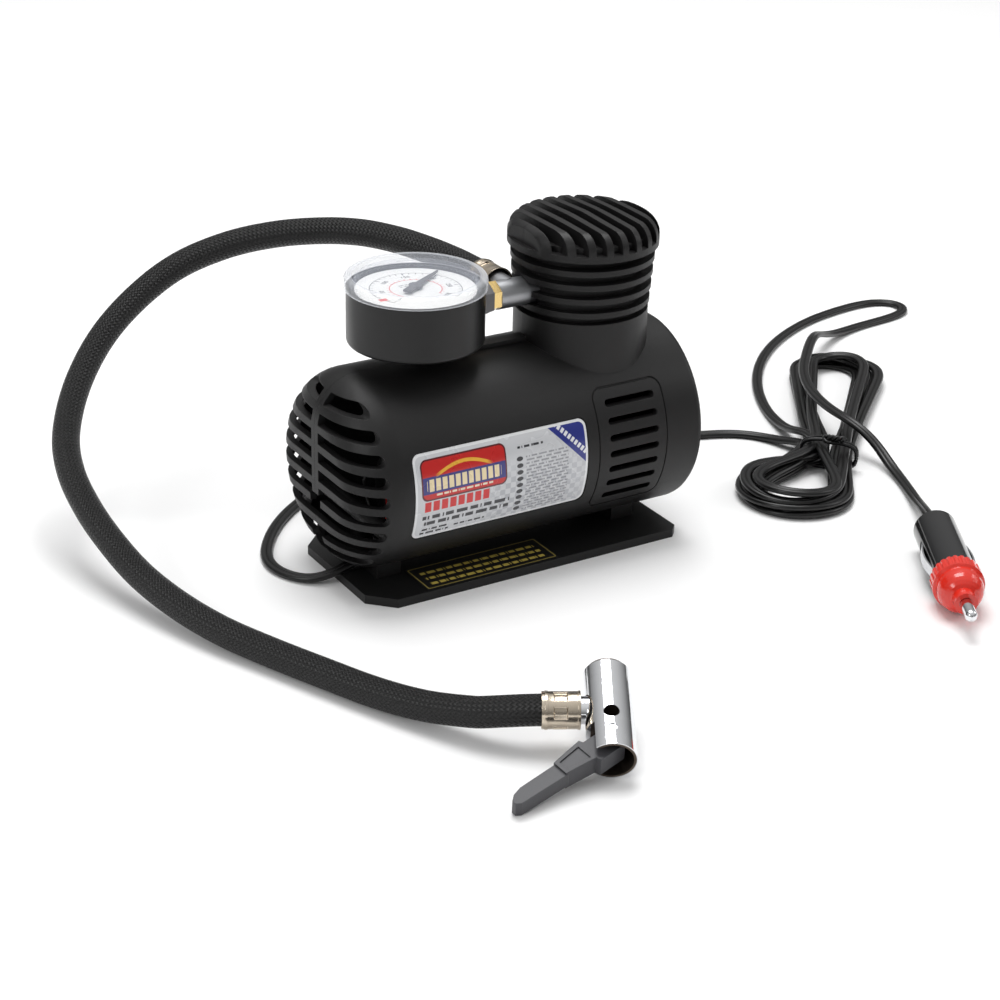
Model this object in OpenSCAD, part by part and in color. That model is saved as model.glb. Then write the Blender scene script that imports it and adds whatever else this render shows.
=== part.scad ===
// Portable 12 V tire inflator: a barrel housing on a base plate, a finned
// pump head with its gauge, a braided hose with a thumb-lock chuck, and a
// twin-flex cord tied in a hank that ends in a car-socket plug.
// X runs along the barrel towards the pump head, the label faces -Y, Z is up,
// and the origin is on the standing surface under the middle of the base.

/* [Barrel housing] */
// Outside diameter of the barrel
barrel_d = 75; // [72:1:92]
// Length of the barrel from grille end to flat end
barrel_l = 147; // [140:1:178]
// Distance from the flat end of the barrel to the origin
barrel_end_x = 72; // [66:1:80]
// Wall thickness of the two housing halves
wall = 2.5; // [2:0.1:3]
// Corner radius of the domed grille end
dome_r = 18; // [14:1:21]
// Corner radius of the flat end
end_r = 3; // [2:0.5:5]
// Gap between the two halves at the seam
seam_gap = 0.1; // [0.05:0.05:0.2]

/* [Grilles] */
// Number of slots on each side of the grille end
end_slots = 9; // [5:2:9]
// Height of an end slot
end_slot_h = 4.4; // [3:0.2:5]
// Number of slots in the side vent
vent_slots = 7; // [3:2:7]
// Height of a side vent slot
vent_slot_h = 2.6; // [2:0.2:3.6]
// Length of a side vent slot
vent_slot_l = 22; // [14:1:24]

/* [Pump head] */
// Distance from the origin to the axis of the head
head_x = 38; // [34:1:40]
// Radius of the plain collar of the head
head_r = 25.5; // [24:0.5:27]
// Number of cooling fins under the crown
head_fins = 4; // [3:1:4]
// Distance from one fin to the next
fin_pitch = 5.5; // [5:0.1:6]
// Thickness of a fin
fin_t = 2.2; // [1.6:0.1:2.8]
// Radius of the crown
crown_r = 28.5; // [27:0.5:30]
// Number of ribs across the crown
crown_ribs = 9; // [7:2:11]

/* [Base] */
// Length of the base plate
base_l = 134; // [120:1:160]
// Width of the base plate
base_w = 64; // [56:1:80]
// Thickness of the base plate
base_t = 3.5; // [3:0.5:5]
// Height of the pads between the base plate and the barrel
pad_h = 3; // [2:0.5:5]

/* [Motor and gears] */
// Diameter of the motor can
can_d = 34; // [30:1:35]
// Length of the motor can
can_l = 52; // [46:1:54]
// Diameter of the motor shaft
shaft_d = 3.2; // [3:0.1:4]
// Gear module
gear_m = 0.8; // [0.8:0.1:0.8]
// Teeth on the motor pinion
pinion_teeth = 9; // [9:1:10]
// Teeth on the drive gear
gear_teeth = 41; // [38:1:42]
// Face width of the drive gear
gear_w = 6; // [5:0.5:7]

/* [Pump] */
// Radius of the crank
crank_r = 5.8; // [5.6:0.1:6.4]
// Bore of the pump cylinder
bore_d = 18; // [16:1:20]
// Radial running clearance of pistons, shafts and pins
run_fit = 0.05; // [0.02:0.01:0.1]
// Radial clearance of parts that are pressed or screwed together
seat_fit = 0.02; // [0.01:0.01:0.05]

/* [Gauge] */
// Diameter of the gauge case
gauge_d = 50.5; // [44:0.5:56]
// Height of the gauge case
gauge_h = 20.8; // [18:0.2:24]
// Height of the clear cover above the case
cover_h = 4.3; // [3.5:0.1:6]

/* [Hose and chuck] */
// Outside diameter of the hose
hose_d = 10.6; // [9:0.2:11.4]
// Diameter of the chuck body
chuck_d = 16; // [14:0.2:18]
// Length of the chuck body
chuck_l = 39; // [35:1:42]
// Bore that takes the tire valve
valve_bore_d = 8; // [7.8:0.1:8.4]

/* [Cord and plug] */
// Width of the twin flex
flex_w = 4.8; // [4.4:0.2:5.4]
// Thickness of the twin flex
flex_t = 2.6; // [2.2:0.2:2.8]
// Height of the tied hank
hank_h = 12; // [10:1:16]
// Diameter of the plug body
plug_d = 16.6; // [15:0.2:18.4]
// Length of the plug body
plug_l = 43; // [38:1:50]

/* [Hidden] */
$fn = 64;

// ---- places and sizes worked out from the driving dimensions ----
barrel_r = barrel_d / 2;
inner_r = barrel_r - wall;
axis_z = base_t + pad_h + barrel_r;
barrel_top = axis_z + barrel_r;
barrel_x0 = barrel_end_x - barrel_l;
dome_x = barrel_x0 + dome_r;

// head: levels above the top of the barrel
collar_top = barrel_top + 10;
fin_z0 = collar_top + 3.6;
rim_z = fin_z0 + head_fins * fin_pitch - 0.9;
rim_t = 2.6;
crown_z = rim_z + rim_t;
crown_h = 8.6;
crown_edge = 6.5;
groove_r = head_r - 3;
head_in_r = groove_r - 2;
outlet_z = barrel_top + 19;

// grille end
end_pitch = 2 * (barrel_r - 8.3) / (end_slots - 1);
end_slot_x = dome_x - 6.5;
seam_rib = 2.5;
seam_slot_w = 8;

// side vent
vent_pitch = 6.2;
vent_x = head_x + 2;
vent_z = axis_z + 0.7;

// front label
label_x0 = dome_x + 3;
label_x1 = label_x0 + 73;
label_h = 33;
label_t = 0.25;

// motor and gear train
centre_d = gear_m * (pinion_teeth + gear_teeth) / 2;
gear_z = axis_z + 4;
motor_z = gear_z - centre_d;
plate_t = 4;
plate_x = head_x - 25;
can_r = can_d / 2;
can_x0 = plate_x - can_l;
can_wall = 1.2;
shaft_r = shaft_d / 2;
gear_x = plate_x + plate_t + 2.5;
rod_t = 6;
rod_x0 = head_x - rod_t / 2;
open_gap = 0.3;

// pump: the piston rests at the bottom of its stroke
bore_r = bore_d / 2;
cyl_top = outlet_z - 7.5;
piston_top = cyl_top - 2 - 2 * crank_r;
piston_h = 12;
wrist_z = piston_top - 7;
wrist_r = 1.8;
pin_r = 2;
crank_z = gear_z - crank_r;
cyl_wall = 2.2;
cyl_z0 = piston_top - piston_h - 1;
flange_t = 4;
deck_z = cyl_z0 - 1;
head_block_r = 16;
head_block_h = 13;
head_screw_pcd = 25;

// gauge
gauge_x = -33.5;
gauge_r = gauge_d / 2;
gauge_z0 = outlet_z - 11.5;
gauge_top = gauge_z0 + gauge_h;
case_wall = 1.5;
dial_z = gauge_top - 1.6;
needle_z = dial_z + 1.4;
needle_angle = 34;
needle_l = gauge_r - 7.5;
outlet_r = 5.4;
outlet_x0 = 0;
nut_l = 3.6;
stem_r = 2.4;

// hose: the barb on the outlet points to the rear
barb_x = 6;
barb_z = outlet_z + 1;
ferrule_r = hose_d / 2 + 0.9;
ferrule_l = 12.6;
ferrule_y0 = 8.5;
hose_r = hose_d / 2;

// chuck: its own frame has the hose along +X and the valve mouth at +Z
chuck_at = [-45, -149, 14];
chuck_turn = [-75, 0, -30];
chuck_r = chuck_d / 2;
chuck_top = 17;
seal_z = 4.3;
seal_h = 7.4;
depressor_r = 1.6;
hole_drop = 24.6; // side hole, from the mouth
fork_l = 11.5; // hollow for the lever, from the lower end
skirt_wall = 1.1;
lever_pin_r = 1.5;
lever_hub_r = 3.8;
lever_pin_z = chuck_top - chuck_l + fork_l - lever_hub_r - 0.3;
lever_angle = 50;
lever_l = 42;
hub_w = 11;
arm_w = 7;
grip_w = 5.5;
arm_l = 22; // from the pin to where the grip starts

// plug: its own frame has the tip along +X
plug_at = [146, -90, 9.8];
plug_turn = [0, 0, -121];
plug_r = plug_d / 2;
cap_r = plug_r + 1.3;
cap_l = 20;
tip_out = 11;
tip_r = 2.3;
tip_neck_r = 1.8;
tip_gap = 0.3; // how far the full width stops short of the cap

// hank: two lobes and the waist that the tie holds
hank_near = [130, -26];
hank_near_r = 25;
hank_waist = [159, -10];
hank_waist_r = 11;
hank_far = [222, 64];
hank_far_r = 22;
tie_w = 7;
tie_t = 0.8;

// free routes, from the object outwards
hose_route = [
  [6, 9.6, 101.5], [6, 16, 101.5], [6, 22.5, 101.5], [3.8, 36, 102.3], [-0.8, 50, 103.4],
  [-7.2, 63.5, 104.4], [-16, 77, 104.6], [-27, 90, 103], [-41, 102, 100], [-57, 112, 95],
  [-75, 119, 87], [-93, 120, 76], [-110, 115, 64], [-125, 104, 51], [-136, 89, 39],
  [-141, 73, 31], [-142, 56, 24], [-141, 38, 18], [-138, 17, 12], [-133, -5, 8.5],
  [-126, -27, 6.5], [-117, -48, 5.6], [-107.5, -70, 5.6], [-98.6, -90, 5.8],
  [-89.8, -107.5, 7.2], [-81, -122.1, 10], [-77.3, -127.2, 11.5], [-71.7, -132.8, 13.2],
  [-65.3, -137.3, 14], [-59.4, -140.7, 14], [-54, -143.8, 14]
];
lead_route = [
  [-62, -3, 6.6], [-67, -3.4, 5.5], [-71.5, -3, 3.6], [-77, -0.2, 1.7], [-82, 7, 1.4],
  [-85, 15, 1.4], [-84, 24, 1.4], [-79, 34, 1.4], [-71, 45, 1.4], [-60, 56, 1.4],
  [-46, 66, 1.4], [-25, 76, 1.4], [5, 80, 1.4], [40, 75, 1.4], [75, 62, 1.4],
  [105, 49, 1.4], [128, 42, 1.4], [142, 37, 1.4], [151, 30, 1.4], [155.5, 21, 2],
  [157, 12, 4], [158.5, 3, 6]
];
tail_route = [
  [160.5, 2, 9.6], [161.5, 13, 7.6], [165, 27, 3.4], [173, 50, 1.4], [187, 75, 1.4],
  [207, 98, 1.4], [231, 116, 1.4], [259, 129, 1.4], [287, 135, 1.4], [305, 135, 1.4],
  [315, 128, 1.4], [312, 118, 1.4], [298, 114, 1.4], [277, 112, 1.4], [258, 106.5, 3],
  [243, 98.5, 7.8], [232, 90, 12.8], [222, 81.5, 14.4], [209, 68.5, 14.4],
  [195, 53, 14.4], [185, 36, 14.2], [179, 16, 14], [178, -3, 13.8], [181, -13, 9],
  [180, -24, 3.6], [176, -38, 1.6], [166.5, -57, 3], [157.5, -71.5, 7],
  [149.6, -84, 9.8], [145, -91.7, 9.8]
];

// ---- helpers ----
function arc(cx, cy, r, a0, a1, n) =
  [for (i = [0:n]) let(a = a0 + (a1 - a0) * i / n) [cx + r * cos(a), cy + r * sin(a)]];

function unit(v) = v / norm(v);

// Direction of a route at point i
function route_dir(p, i) =
  unit(p[min(i + 1, len(p) - 1)] - p[max(i - 1, 0)]);

// Side vector of a route at point i: level, square to the direction
function route_side(p, i) =
  unit(cross([0, 0, 1], route_dir(p, i)));

// Flat loop of a swept tube: w wide, t thick
function route_ring(p, i, w, t, sides) =
  let(s = route_side(p, i), u = cross(route_dir(p, i), s))
  [for (k = [0:sides - 1]) let(a = 360 * (k + 0.5) / sides)
    p[i] + s * cos(a) * w / 2 + u * sin(a) * t / 2];

module swept_tube(p, w, t, sides) {
  n = len(p);
  pts = [for (i = [0:n - 1]) each route_ring(p, i, w, t, sides)];
  walls = [for (i = [0:n - 2], k = [0:sides - 1])
    let(a = i * sides + k, b = i * sides + (k + 1) % sides)
    each [[a, a + sides, b + sides], [a, b + sides, b]]];
  first = [for (k = [0:sides - 1]) k];
  last = [for (k = [0:sides - 1]) n * sides - 1 - k];
  polyhedron(pts, concat(walls, [first], [last]), convexity = 8);
}

// Cylinder from x0 to x1 along X
module rod_x(x0, x1, r) {
  translate([x0, 0, 0]) rotate([0, 90, 0]) cylinder(h = x1 - x0, r = r);
}

// Cylinder from y0 to y1 along Y
module rod_y(y0, y1, r) {
  translate([0, y0, 0]) rotate([-90, 0, 0]) cylinder(h = y1 - y0, r = r);
}

// Ring from x0 to x1 along X
module tube_x(x0, x1, r_out, r_in) {
  difference() {
    rod_x(x0, x1, r_out);
    rod_x(x0 - 1, x1 + 1, r_in);
  }
}

// Hexagonal bar from x0 to x1 along X, flat is the distance across flats
module hex_x(x0, x1, flat) {
  translate([x0, 0, 0]) rotate([0, 90, 0]) cylinder(h = x1 - x0, r = flat / sqrt(3), $fn = 6);
}

// Round-ended slot cutter: l long along X, h high, through y0 to y1
module slot_y(x0, l, h, z, y0, y1) {
  translate([x0 + h / 2, y0, z - h / 2]) cube([l - h, y1 - y0, h]);
  for (x = [x0 + h / 2, x0 + l - h / 2])
    translate([x, 0, z]) rod_y(y0, y1, h / 2, $fn = 24);
}

// Block with rounded corners seen along Y
module panel_y(x0, x1, z0, z1, r, y0, y1) {
  translate([x0 + r, y0, z0]) cube([x1 - x0 - 2 * r, y1 - y0, z1 - z0]);
  translate([x0, y0, z0 + r]) cube([x1 - x0, y1 - y0, z1 - z0 - 2 * r]);
  for (x = [x0 + r, x1 - r], z = [z0 + r, z1 - r])
    translate([x, 0, z]) rod_y(y0, y1, r, $fn = 32);
}

// Spur gear along X with straight-flanked teeth
module spur_gear(x0, w, teeth, turn, bore) {
  rp = gear_m * teeth / 2;
  tip = rp + gear_m * 0.9;
  root = rp - gear_m * 1.25;
  step = 360 / teeth;
  outline = [for (i = [0:teeth - 1]) each [
    [root, i * step - step * 0.34], [rp, i * step - step * 0.215],
    [tip, i * step - step * 0.1], [tip, i * step + step * 0.1],
    [rp, i * step + step * 0.215], [root, i * step + step * 0.34]]];
  translate([x0, 0, 0]) rotate([0, 90, 0]) rotate([0, 0, turn]) linear_extrude(w)
    difference() {
      polygon([for (q = outline) [q[0] * cos(q[1]), q[0] * sin(q[1])]]);
      circle(bore);
    }
}

// Screw along +Z from its tip: pan head on top, with a cross recess
module screw(shank_l, shank_r, head_r, head_h) {
  difference() {
    union() {
      cylinder(h = shank_l, r = shank_r, $fn = 24);
      translate([0, 0, shank_l]) cylinder(h = head_h, r = head_r, $fn = 32);
    }
    for (a = [0, 90]) rotate([0, 0, a])
      translate([-head_r * 0.6, -0.35, shank_l + head_h - 0.8]) cube([head_r * 1.2, 0.7, 1]);
  }
}

module at_motor() { translate([0, 0, motor_z]) children(); }
module at_gear() { translate([0, 0, gear_z]) children(); }
module at_head() { translate([head_x, 0, 0]) children(); }
module at_gauge() { translate([gauge_x, 0, 0]) children(); }
module at_chuck() { translate(chuck_at) rotate(chuck_turn) children(); }
module at_plug() { translate(plug_at) rotate(plug_turn) children(); }

// ---- housing ----
// Turned outline of the barrel, grown inwards by d
module barrel_solid(d) {
  r = barrel_r - d;
  dr = dome_r - d;
  er = max(end_r - d, 0.5);
  translate([barrel_x0, 0, axis_z]) rotate([0, 90, 0]) rotate_extrude($fn = 96)
    polygon(concat(
      [[0, d]],
      arc(r - dr, d + dr, dr, -90, 0, 10),
      arc(r - er, barrel_l - d - er, er, 0, 90, 4),
      [[0, barrel_l - d]]));
}

// Crown of the head before its grooves are cut
module crown_solid(d) {
  translate([0, 0, rim_z]) rotate_extrude($fn = 96)
    polygon(concat(
      [[0, 0], [crown_r - d, 0]],
      arc(crown_r - d - crown_edge, rim_t + crown_h - d - crown_edge - 1, crown_edge, 0, 80, 6),
      [[0, rim_t + crown_h - d]]));
}

// Outside of the head: collar, fins and crown
module head_solid() {
  translate([0, 0, axis_z]) cylinder(h = collar_top - axis_z, r = head_r, $fn = 96);
  cylinder_from(collar_top - 1, rim_z + 1, groove_r);
  for (i = [0:head_fins - 1])
    cylinder_from(fin_z0 + i * fin_pitch - fin_t / 2, fin_z0 + i * fin_pitch + fin_t / 2,
      head_r + 0.4 * (i + 1));
  difference() {
    crown_solid(0);
    crown_grooves();
  }
}

module cylinder_from(z0, z1, r) {
  translate([0, 0, z0]) cylinder(h = z1 - z0, r = r, $fn = 96);
}

// Grooves between the ribs of the crown; their floor is a lower crown
module crown_grooves() {
  pitch = 2 * (crown_r - 3) / (crown_ribs - 1) * 0.985;
  groove_w = pitch * 0.6;
  difference() {
    for (i = [0:crown_ribs])
      translate([(i - crown_ribs / 2) * pitch - groove_w / 2, -crown_r - 1, crown_z])
        cube([groove_w, 2 * crown_r + 2, crown_h + 2]);
    translate([0, 0, crown_z - 1]) cylinder(h = 3.2, r = crown_r - 3.2, $fn = 96);
  }
}

module head_cavity() {
  translate([0, 0, axis_z]) cylinder(h = crown_z + 0.4 - axis_z, r = head_in_r, $fn = 96);
}

// Screws that hold the halves: [x, z]
function housing_screw_at() = [
  [dome_x + 9, axis_z + inner_r - 12], [plate_x - 9, axis_z + inner_r - 9],
  [dome_x - 1, axis_z - inner_r + 18], [barrel_end_x - 9, axis_z - inner_r + 16],
  [barrel_end_x - 9, axis_z + inner_r - 15]
];
seat_y = 11;
screw_r = 1.5;
post_r = 3.6;

// Screws that hold the base: [x, y]
function base_screw_at() = [for (x = [-1, 1], y = [-1, 1]) [x * (base_l / 2 - 15), y * 9]];

// One half of the housing; side is -1 for the front and 1 for the rear
module housing_half(side) {
  intersection() {
    difference() {
      union() {
        difference() {
          union() {
            barrel_solid(0);
            at_head() head_solid();
            seam_ridge();
            pads();
          }
          barrel_solid(wall);
          at_head() head_cavity();
        }
        intersection() {
          barrel_solid(wall / 2);
          union() {
            for (p = housing_screw_at()) translate([p[0], 0, p[1]])
              rod_y(-barrel_r, barrel_r, post_r);
            motor_ribs();
            for (p = base_screw_at()) translate([p[0], p[1], 0])
              cylinder(h = base_screw_top + 1.5, r = post_r);
          }
        }
      }
      grille_cuts(side);
      motor_bore();
      for (p = housing_screw_at()) translate([p[0], 0, p[1]]) {
        rod_y(-9.4, seat_y + 1, screw_r + seat_fit);
        rod_y(seat_y, barrel_r + 2, 3.3);
      }
      for (p = base_screw_at()) translate([p[0], p[1], base_t - 1])
        cylinder(h = base_screw_top - base_t + 1.2, r = screw_r + seat_fit);
      at_head() outlet_port();
      gland_port();
      if (side < 0) front_cuts();
    }
    half_space(side);
  }
}

module half_space(side) {
  y0 = side < 0 ? -60 : seam_gap / 2;
  translate([barrel_x0 - 20, y0, 0]) cube([barrel_l + 40, 60 - seam_gap / 2, 200]);
}

// Raised strip along the seam between gauge and head
module seam_ridge() {
  translate([gauge_x, -2.6, axis_z]) cube([head_x - gauge_x - 10, 5.2, barrel_r + 1.4]);
}

// Pads that the barrel stands on
module pads() {
  for (x = [-1, 1])
    translate([x * (base_l / 2 - 15) - 5, -14, base_t]) cube([10, 28, pad_h + 3]);
}

base_screw_top = base_t + pad_h + 10;

// Rings inside the housing that hold the motor can
module motor_ribs() {
  for (x = [can_x0 + 8, plate_x - 6]) rod_x_slab(x, 2.2);
}

module rod_x_slab(x, t) {
  translate([x, -barrel_r, axis_z - barrel_r]) cube([t, barrel_d, barrel_r + 4]);
}

module motor_bore() {
  at_motor() rod_x(can_x0 - 1, plate_x + 0.5, can_r + 0.15);
}

module grille_cuts(side) {
  y0 = side < 0 ? -barrel_r - 1 : seam_rib;
  for (i = [0:end_slots - 1])
    slot_y(barrel_x0 - 10, end_slot_x - barrel_x0 + 10, end_slot_h,
      axis_z + 1 + (i - (end_slots - 1) / 2) * end_pitch, y0, y0 + barrel_r + 1 - seam_rib);
  bar_z = axis_z + 1 + (1.5 - (end_slots - 1) / 2) * end_pitch;
  for (z = [[bar_z + 1.45, axis_z - 7], [gland_z + gland_r + 1.5, bar_z - 1.45]])
    translate([barrel_x0 - 1, -seam_slot_w / 2, z[0]])
      cube([dome_r * 0.75, seam_slot_w, z[1] - z[0]]);
}

// Side vent and label recess on the front half
module front_cuts() {
  for (i = [0:vent_slots - 1])
    slot_y(vent_x - vent_slot_l / 2, vent_slot_l, vent_slot_h,
      vent_z + (i - (vent_slots - 1) / 2) * vent_pitch, -barrel_r - 1, -barrel_r / 2);
  difference() {
    panel_y(vent_x - 16, vent_x + 15, vent_z - 24, vent_z + 24, 4, -barrel_r - 1, -10);
    panel_y(vent_x - 15.4, vent_x + 14.4, vent_z - 23.4, vent_z + 23.4, 3.4, -barrel_r - 2, -9);
    barrel_solid(0.4);
  }
  difference() {
    panel_y(label_x0 - 0.4, label_x1 + 0.4, axis_z - label_h / 2 - 0.4,
      axis_z + label_h / 2 + 0.4, 3, -barrel_r - 1, -10);
    barrel_solid(0.4);
  }
}

// Opening in the head for the outlet tube
module outlet_port() {
  translate([-head_r - 5, 0, outlet_z]) rod_x(0, head_r, outlet_r + 0.3);
}

// Channel under the grille end for the gland
gland_z = base_t + pad_h + 0.1;
gland_x1 = dome_x - 5;
gland_x0 = gland_x1 + 18;
gland_r = 2.9;
module gland_port() {
  translate([0, -3, gland_z]) rod_x(barrel_x0, gland_x0 + 2.2, gland_r + 0.15);
  translate([0, -3, gland_z + 2]) rod_x(gland_x0 - 3, gland_x0 + 5, 2.2);
}

module front_housing() { color([0.1, 0.1, 0.105]) housing_half(-1); }
module rear_housing() { color([0.1, 0.1, 0.105]) housing_half(1); }

module housing_screws() {
  color([0.25, 0.25, 0.26])
    for (p = housing_screw_at()) translate([p[0], -9, p[1]]) rotate([-90, 0, 0])
      screw(9 + seat_y, screw_r, 2.9, 2.2);
}

module base_outline() {
  l = base_l / 2;
  w = base_w / 2;
  polygon([[-l, -w + 9], [-l + 9, -w], [l - 3, -w], [l, -w + 3],
    [l, w - 3], [l - 3, w], [-l + 9, w], [-l, w - 9]]);
}

module base_plate() {
  color([0.11, 0.11, 0.115]) difference() {
    linear_extrude(base_t) base_outline();
    translate([base_l / 2, -base_w, base_t - 0.4]) rotate([0, 60, 0])
      translate([-6, 0, 0]) cube([8, 2 * base_w, 5]);
    for (p = base_screw_at()) translate([p[0], p[1], -1]) {
      cylinder(h = base_t + 2, r = screw_r + 0.2);
      cylinder(h = 1 + 1.9, r = 3.1);
    }
  }
}

module base_screws() {
  color([0.25, 0.25, 0.26])
    for (p = base_screw_at()) translate([p[0], p[1], base_screw_top]) rotate([180, 0, 0])
      screw(base_screw_top - 1.9, screw_r, 2.8, 1.5);
}

module front_label() {
  color([0.75, 0.76, 0.78]) intersection() {
    difference() {
      barrel_solid(0.4 - label_t);
      barrel_solid(0.4);
    }
    panel_y(label_x0, label_x1, axis_z - label_h / 2, axis_z + label_h / 2, 3, -barrel_r - 1, -10);
  }
}

module base_label() {
  color([0.05, 0.05, 0.05]) translate([-45, -base_w / 2 + 1, base_t]) cube([57, 18, 0.2]);
}

// ---- motor ----
magnet_r = can_r - can_wall - seat_fit;
core_r = magnet_r - 4;
core_x0 = can_x0 + 16;
core_l = 26;
comm_r = 4.6;

module motor_can() {
  color([0.62, 0.63, 0.65]) at_motor() difference() {
    union() {
      rod_x(can_x0, plate_x, can_r);
      rod_x(plate_x - 1, plate_x + 3, 5);
    }
    rod_x(can_x0 - 1, plate_x - can_wall, can_r - can_wall);
    rod_x(plate_x - can_wall - 1, plate_x + 4, 3.5 + seat_fit);
    for (s = [-1, 1]) translate([0, s * 9, 0]) rod_x(plate_x - 4, plate_x + 1, 1.25 + seat_fit);
  }
}

module motor_magnets() {
  color([0.22, 0.22, 0.23]) at_motor() for (s = [-1, 1]) intersection() {
    tube_x(core_x0 - 2, core_x0 + core_l + 2, magnet_r, core_r + 0.5);
    translate([can_x0, -can_r, -10]) cube([can_l, can_d, 20]);
    translate([can_x0, s > 0 ? 4 : -4 - can_r, -can_r]) cube([can_l, can_r, can_d]);
  }
}

module motor_end_cap() {
  color([0.14, 0.14, 0.15]) at_motor() difference() {
    union() {
      rod_x(can_x0 - 2.5, can_x0, can_r - 0.4);
      rod_x(can_x0 - 0.1, can_x0 + 3, can_r - can_wall - seat_fit);
      rod_x(can_x0 - 5, can_x0 - 2, 5);
    }
    rod_x(can_x0 - 6, can_x0 + 4, 3.5 + seat_fit);
    rod_x(can_x0, can_x0 + 4, can_r - can_wall - 2.5);
    for (s = [-1, 1]) translate([can_x0 - 6, s * 9 - 1.6, 7.4]) cube([12, 3.2, 0.8 + seat_fit * 2]);
  }
}

module motor_bushings() {
  color([0.72, 0.5, 0.22]) at_motor() {
    tube_x(plate_x - 2, plate_x + 3, 3.5, shaft_r + run_fit);
    tube_x(can_x0 - 5, can_x0, 3.5, shaft_r + run_fit);
  }
}

module motor_brushes() {
  color([0.16, 0.16, 0.17]) at_motor() for (s = [-1, 1])
    translate([can_x0 + 6, s > 0 ? comm_r + 0.1 : -comm_r - 7.1, -1.6]) cube([4, 7, 3.2]);
}

module motor_terminals() {
  color([0.8, 0.66, 0.3]) at_motor() for (s = [-1, 1]) {
    translate([can_x0 - 8, s * 9 - 1.5, 7.4 + seat_fit]) cube([15.9, 3, 0.8]);
    translate([can_x0 + 7, s * 9 - 1.5, 1.7]) cube([0.9, 3, 6.5]);
  }
}

module motor_screws() {
  color([0.7, 0.7, 0.72]) at_motor() for (s = [-1, 1])
    translate([plate_x - 3, s * 9, 0]) rotate([0, 90, 0]) screw(plate_t + 3, 1.25, 2.3, 1.6);
}

module armature_core() {
  color([0.4, 0.4, 0.42]) at_motor() difference() {
    rod_x(core_x0, core_x0 + core_l, core_r);
    rod_x(core_x0 - 1, core_x0 + core_l + 1, shaft_r + seat_fit);
    for (i = [0:4]) rotate([72 * i, 0, 0]) {
      translate([core_x0 - 1, -0.7, 5]) cube([core_l + 2, 1.4, core_r]);
      translate([core_x0 - 1, -2, 4.5]) cube([core_l + 2, 4, core_r - 6.5]);
    }
  }
}

module armature_windings() {
  color([0.72, 0.36, 0.16]) at_motor() {
    for (i = [0:4]) rotate([72 * i, 0, 0])
      translate([core_x0 - 1, -1.9, 4.6]) cube([core_l + 2, 3.8, core_r - 6.7]);
    for (x = [core_x0 - 3, core_x0 + core_l + 0.1]) tube_x(x, x + 2.9, core_r - 1.6, 3);
  }
}

module commutator() {
  color([0.75, 0.45, 0.25]) at_motor() difference() {
    tube_x(can_x0 + 4, core_x0 - 3.2, comm_r, shaft_r + seat_fit);
    for (i = [0:4]) rotate([72 * i + 36, 0, 0])
      translate([can_x0 + 3, -0.25, comm_r - 0.8]) cube([core_x0 - can_x0 - 3, 0.5, 2]);
  }
}

module motor_shaft() {
  color([0.78, 0.79, 0.8]) at_motor() rod_x(can_x0 - 4.5, gear_x + gear_w + 1, shaft_r);
}

module motor_pinion() {
  color([0.8, 0.68, 0.32]) at_motor()
    spur_gear(gear_x - 0.5, gear_w + 1, pinion_teeth, 180, shaft_r + seat_fit);
}

// ---- gear train and pump ----
// Plate, deck and two cheeks, cast in one
module gear_frame() {
  deck_x1 = head_x + bore_r + cyl_wall + 4;
  color([0.66, 0.67, 0.69]) difference() {
    union() {
      intersection() {
        translate([0, 0, axis_z]) rod_x(plate_x, plate_x + plate_t, inner_r - 0.3);
        translate([plate_x - 1, -19, axis_z - inner_r])
          cube([plate_t + 2, 38, deck_z + flange_t - axis_z + inner_r]);
      }
      translate([plate_x, -15, deck_z]) cube([deck_x1 - plate_x, 30, flange_t]);
      for (s = [-1, 1]) translate([plate_x, s * 15 - 1.25 - s * 1.25, deck_z - 8])
        cube([gear_x - 0.5 - plate_x, 2.5, 8.5]);
      at_gear() rod_x(plate_x, gear_x - 0.4, 6);
    }
    at_motor() rod_x(plate_x - 1, plate_x + plate_t + 1, 5.2);
    at_gear() rod_x(plate_x - 1, gear_x + 1, 3 + seat_fit);
    for (s = [-1, 1]) at_motor() translate([0, s * 9, 0])
      rod_x(plate_x - 1, plate_x + plate_t + 1, 1.25 + seat_fit);
    translate([head_x, 0, deck_z - 1]) cylinder(h = flange_t + 2, r = bore_r + cyl_wall + seat_fit);
    head_screw_places() translate([0, 0, deck_z - 1])
      cylinder(h = flange_t + 2, r = 1.25 + seat_fit, $fn = 24);
  }
}

module head_screw_places() {
  at_head() for (a = [45:90:315]) rotate([0, 0, a]) translate([head_screw_pcd / 2, 0, 0]) children();
}

module gear_shaft() {
  color([0.78, 0.79, 0.8]) at_gear() {
    rod_x(plate_x + 0.1, gear_x + gear_w, 3);
    rod_x(gear_x + gear_w + 0.1, gear_x + gear_w + 1.1, 3.5);
    rod_x(gear_x + gear_w - 1, gear_x + gear_w + 0.5, 2.4);
  }
}

module drive_gear() {
  color([0.86, 0.85, 0.8]) at_gear() difference() {
    spur_gear(gear_x, gear_w, gear_teeth, 180 / gear_teeth, 3 + run_fit);
    translate([0, 0, -crank_r]) rod_x(gear_x + 2, gear_x + gear_w + 1, pin_r + seat_fit);
    for (a = [60:60:300]) rotate([a, 0, 0])
      translate([0, 0, -10.5]) rod_x(gear_x - 1, gear_x + gear_w + 1, 2.8);
  }
}

// Stops just short of the rod: the pump linkage is opened at this pivot
module crank_pin() {
  color([0.78, 0.79, 0.8]) translate([0, 0, crank_z])
    rod_x(gear_x + 2.2, rod_x0 - open_gap, pin_r);
}

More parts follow.
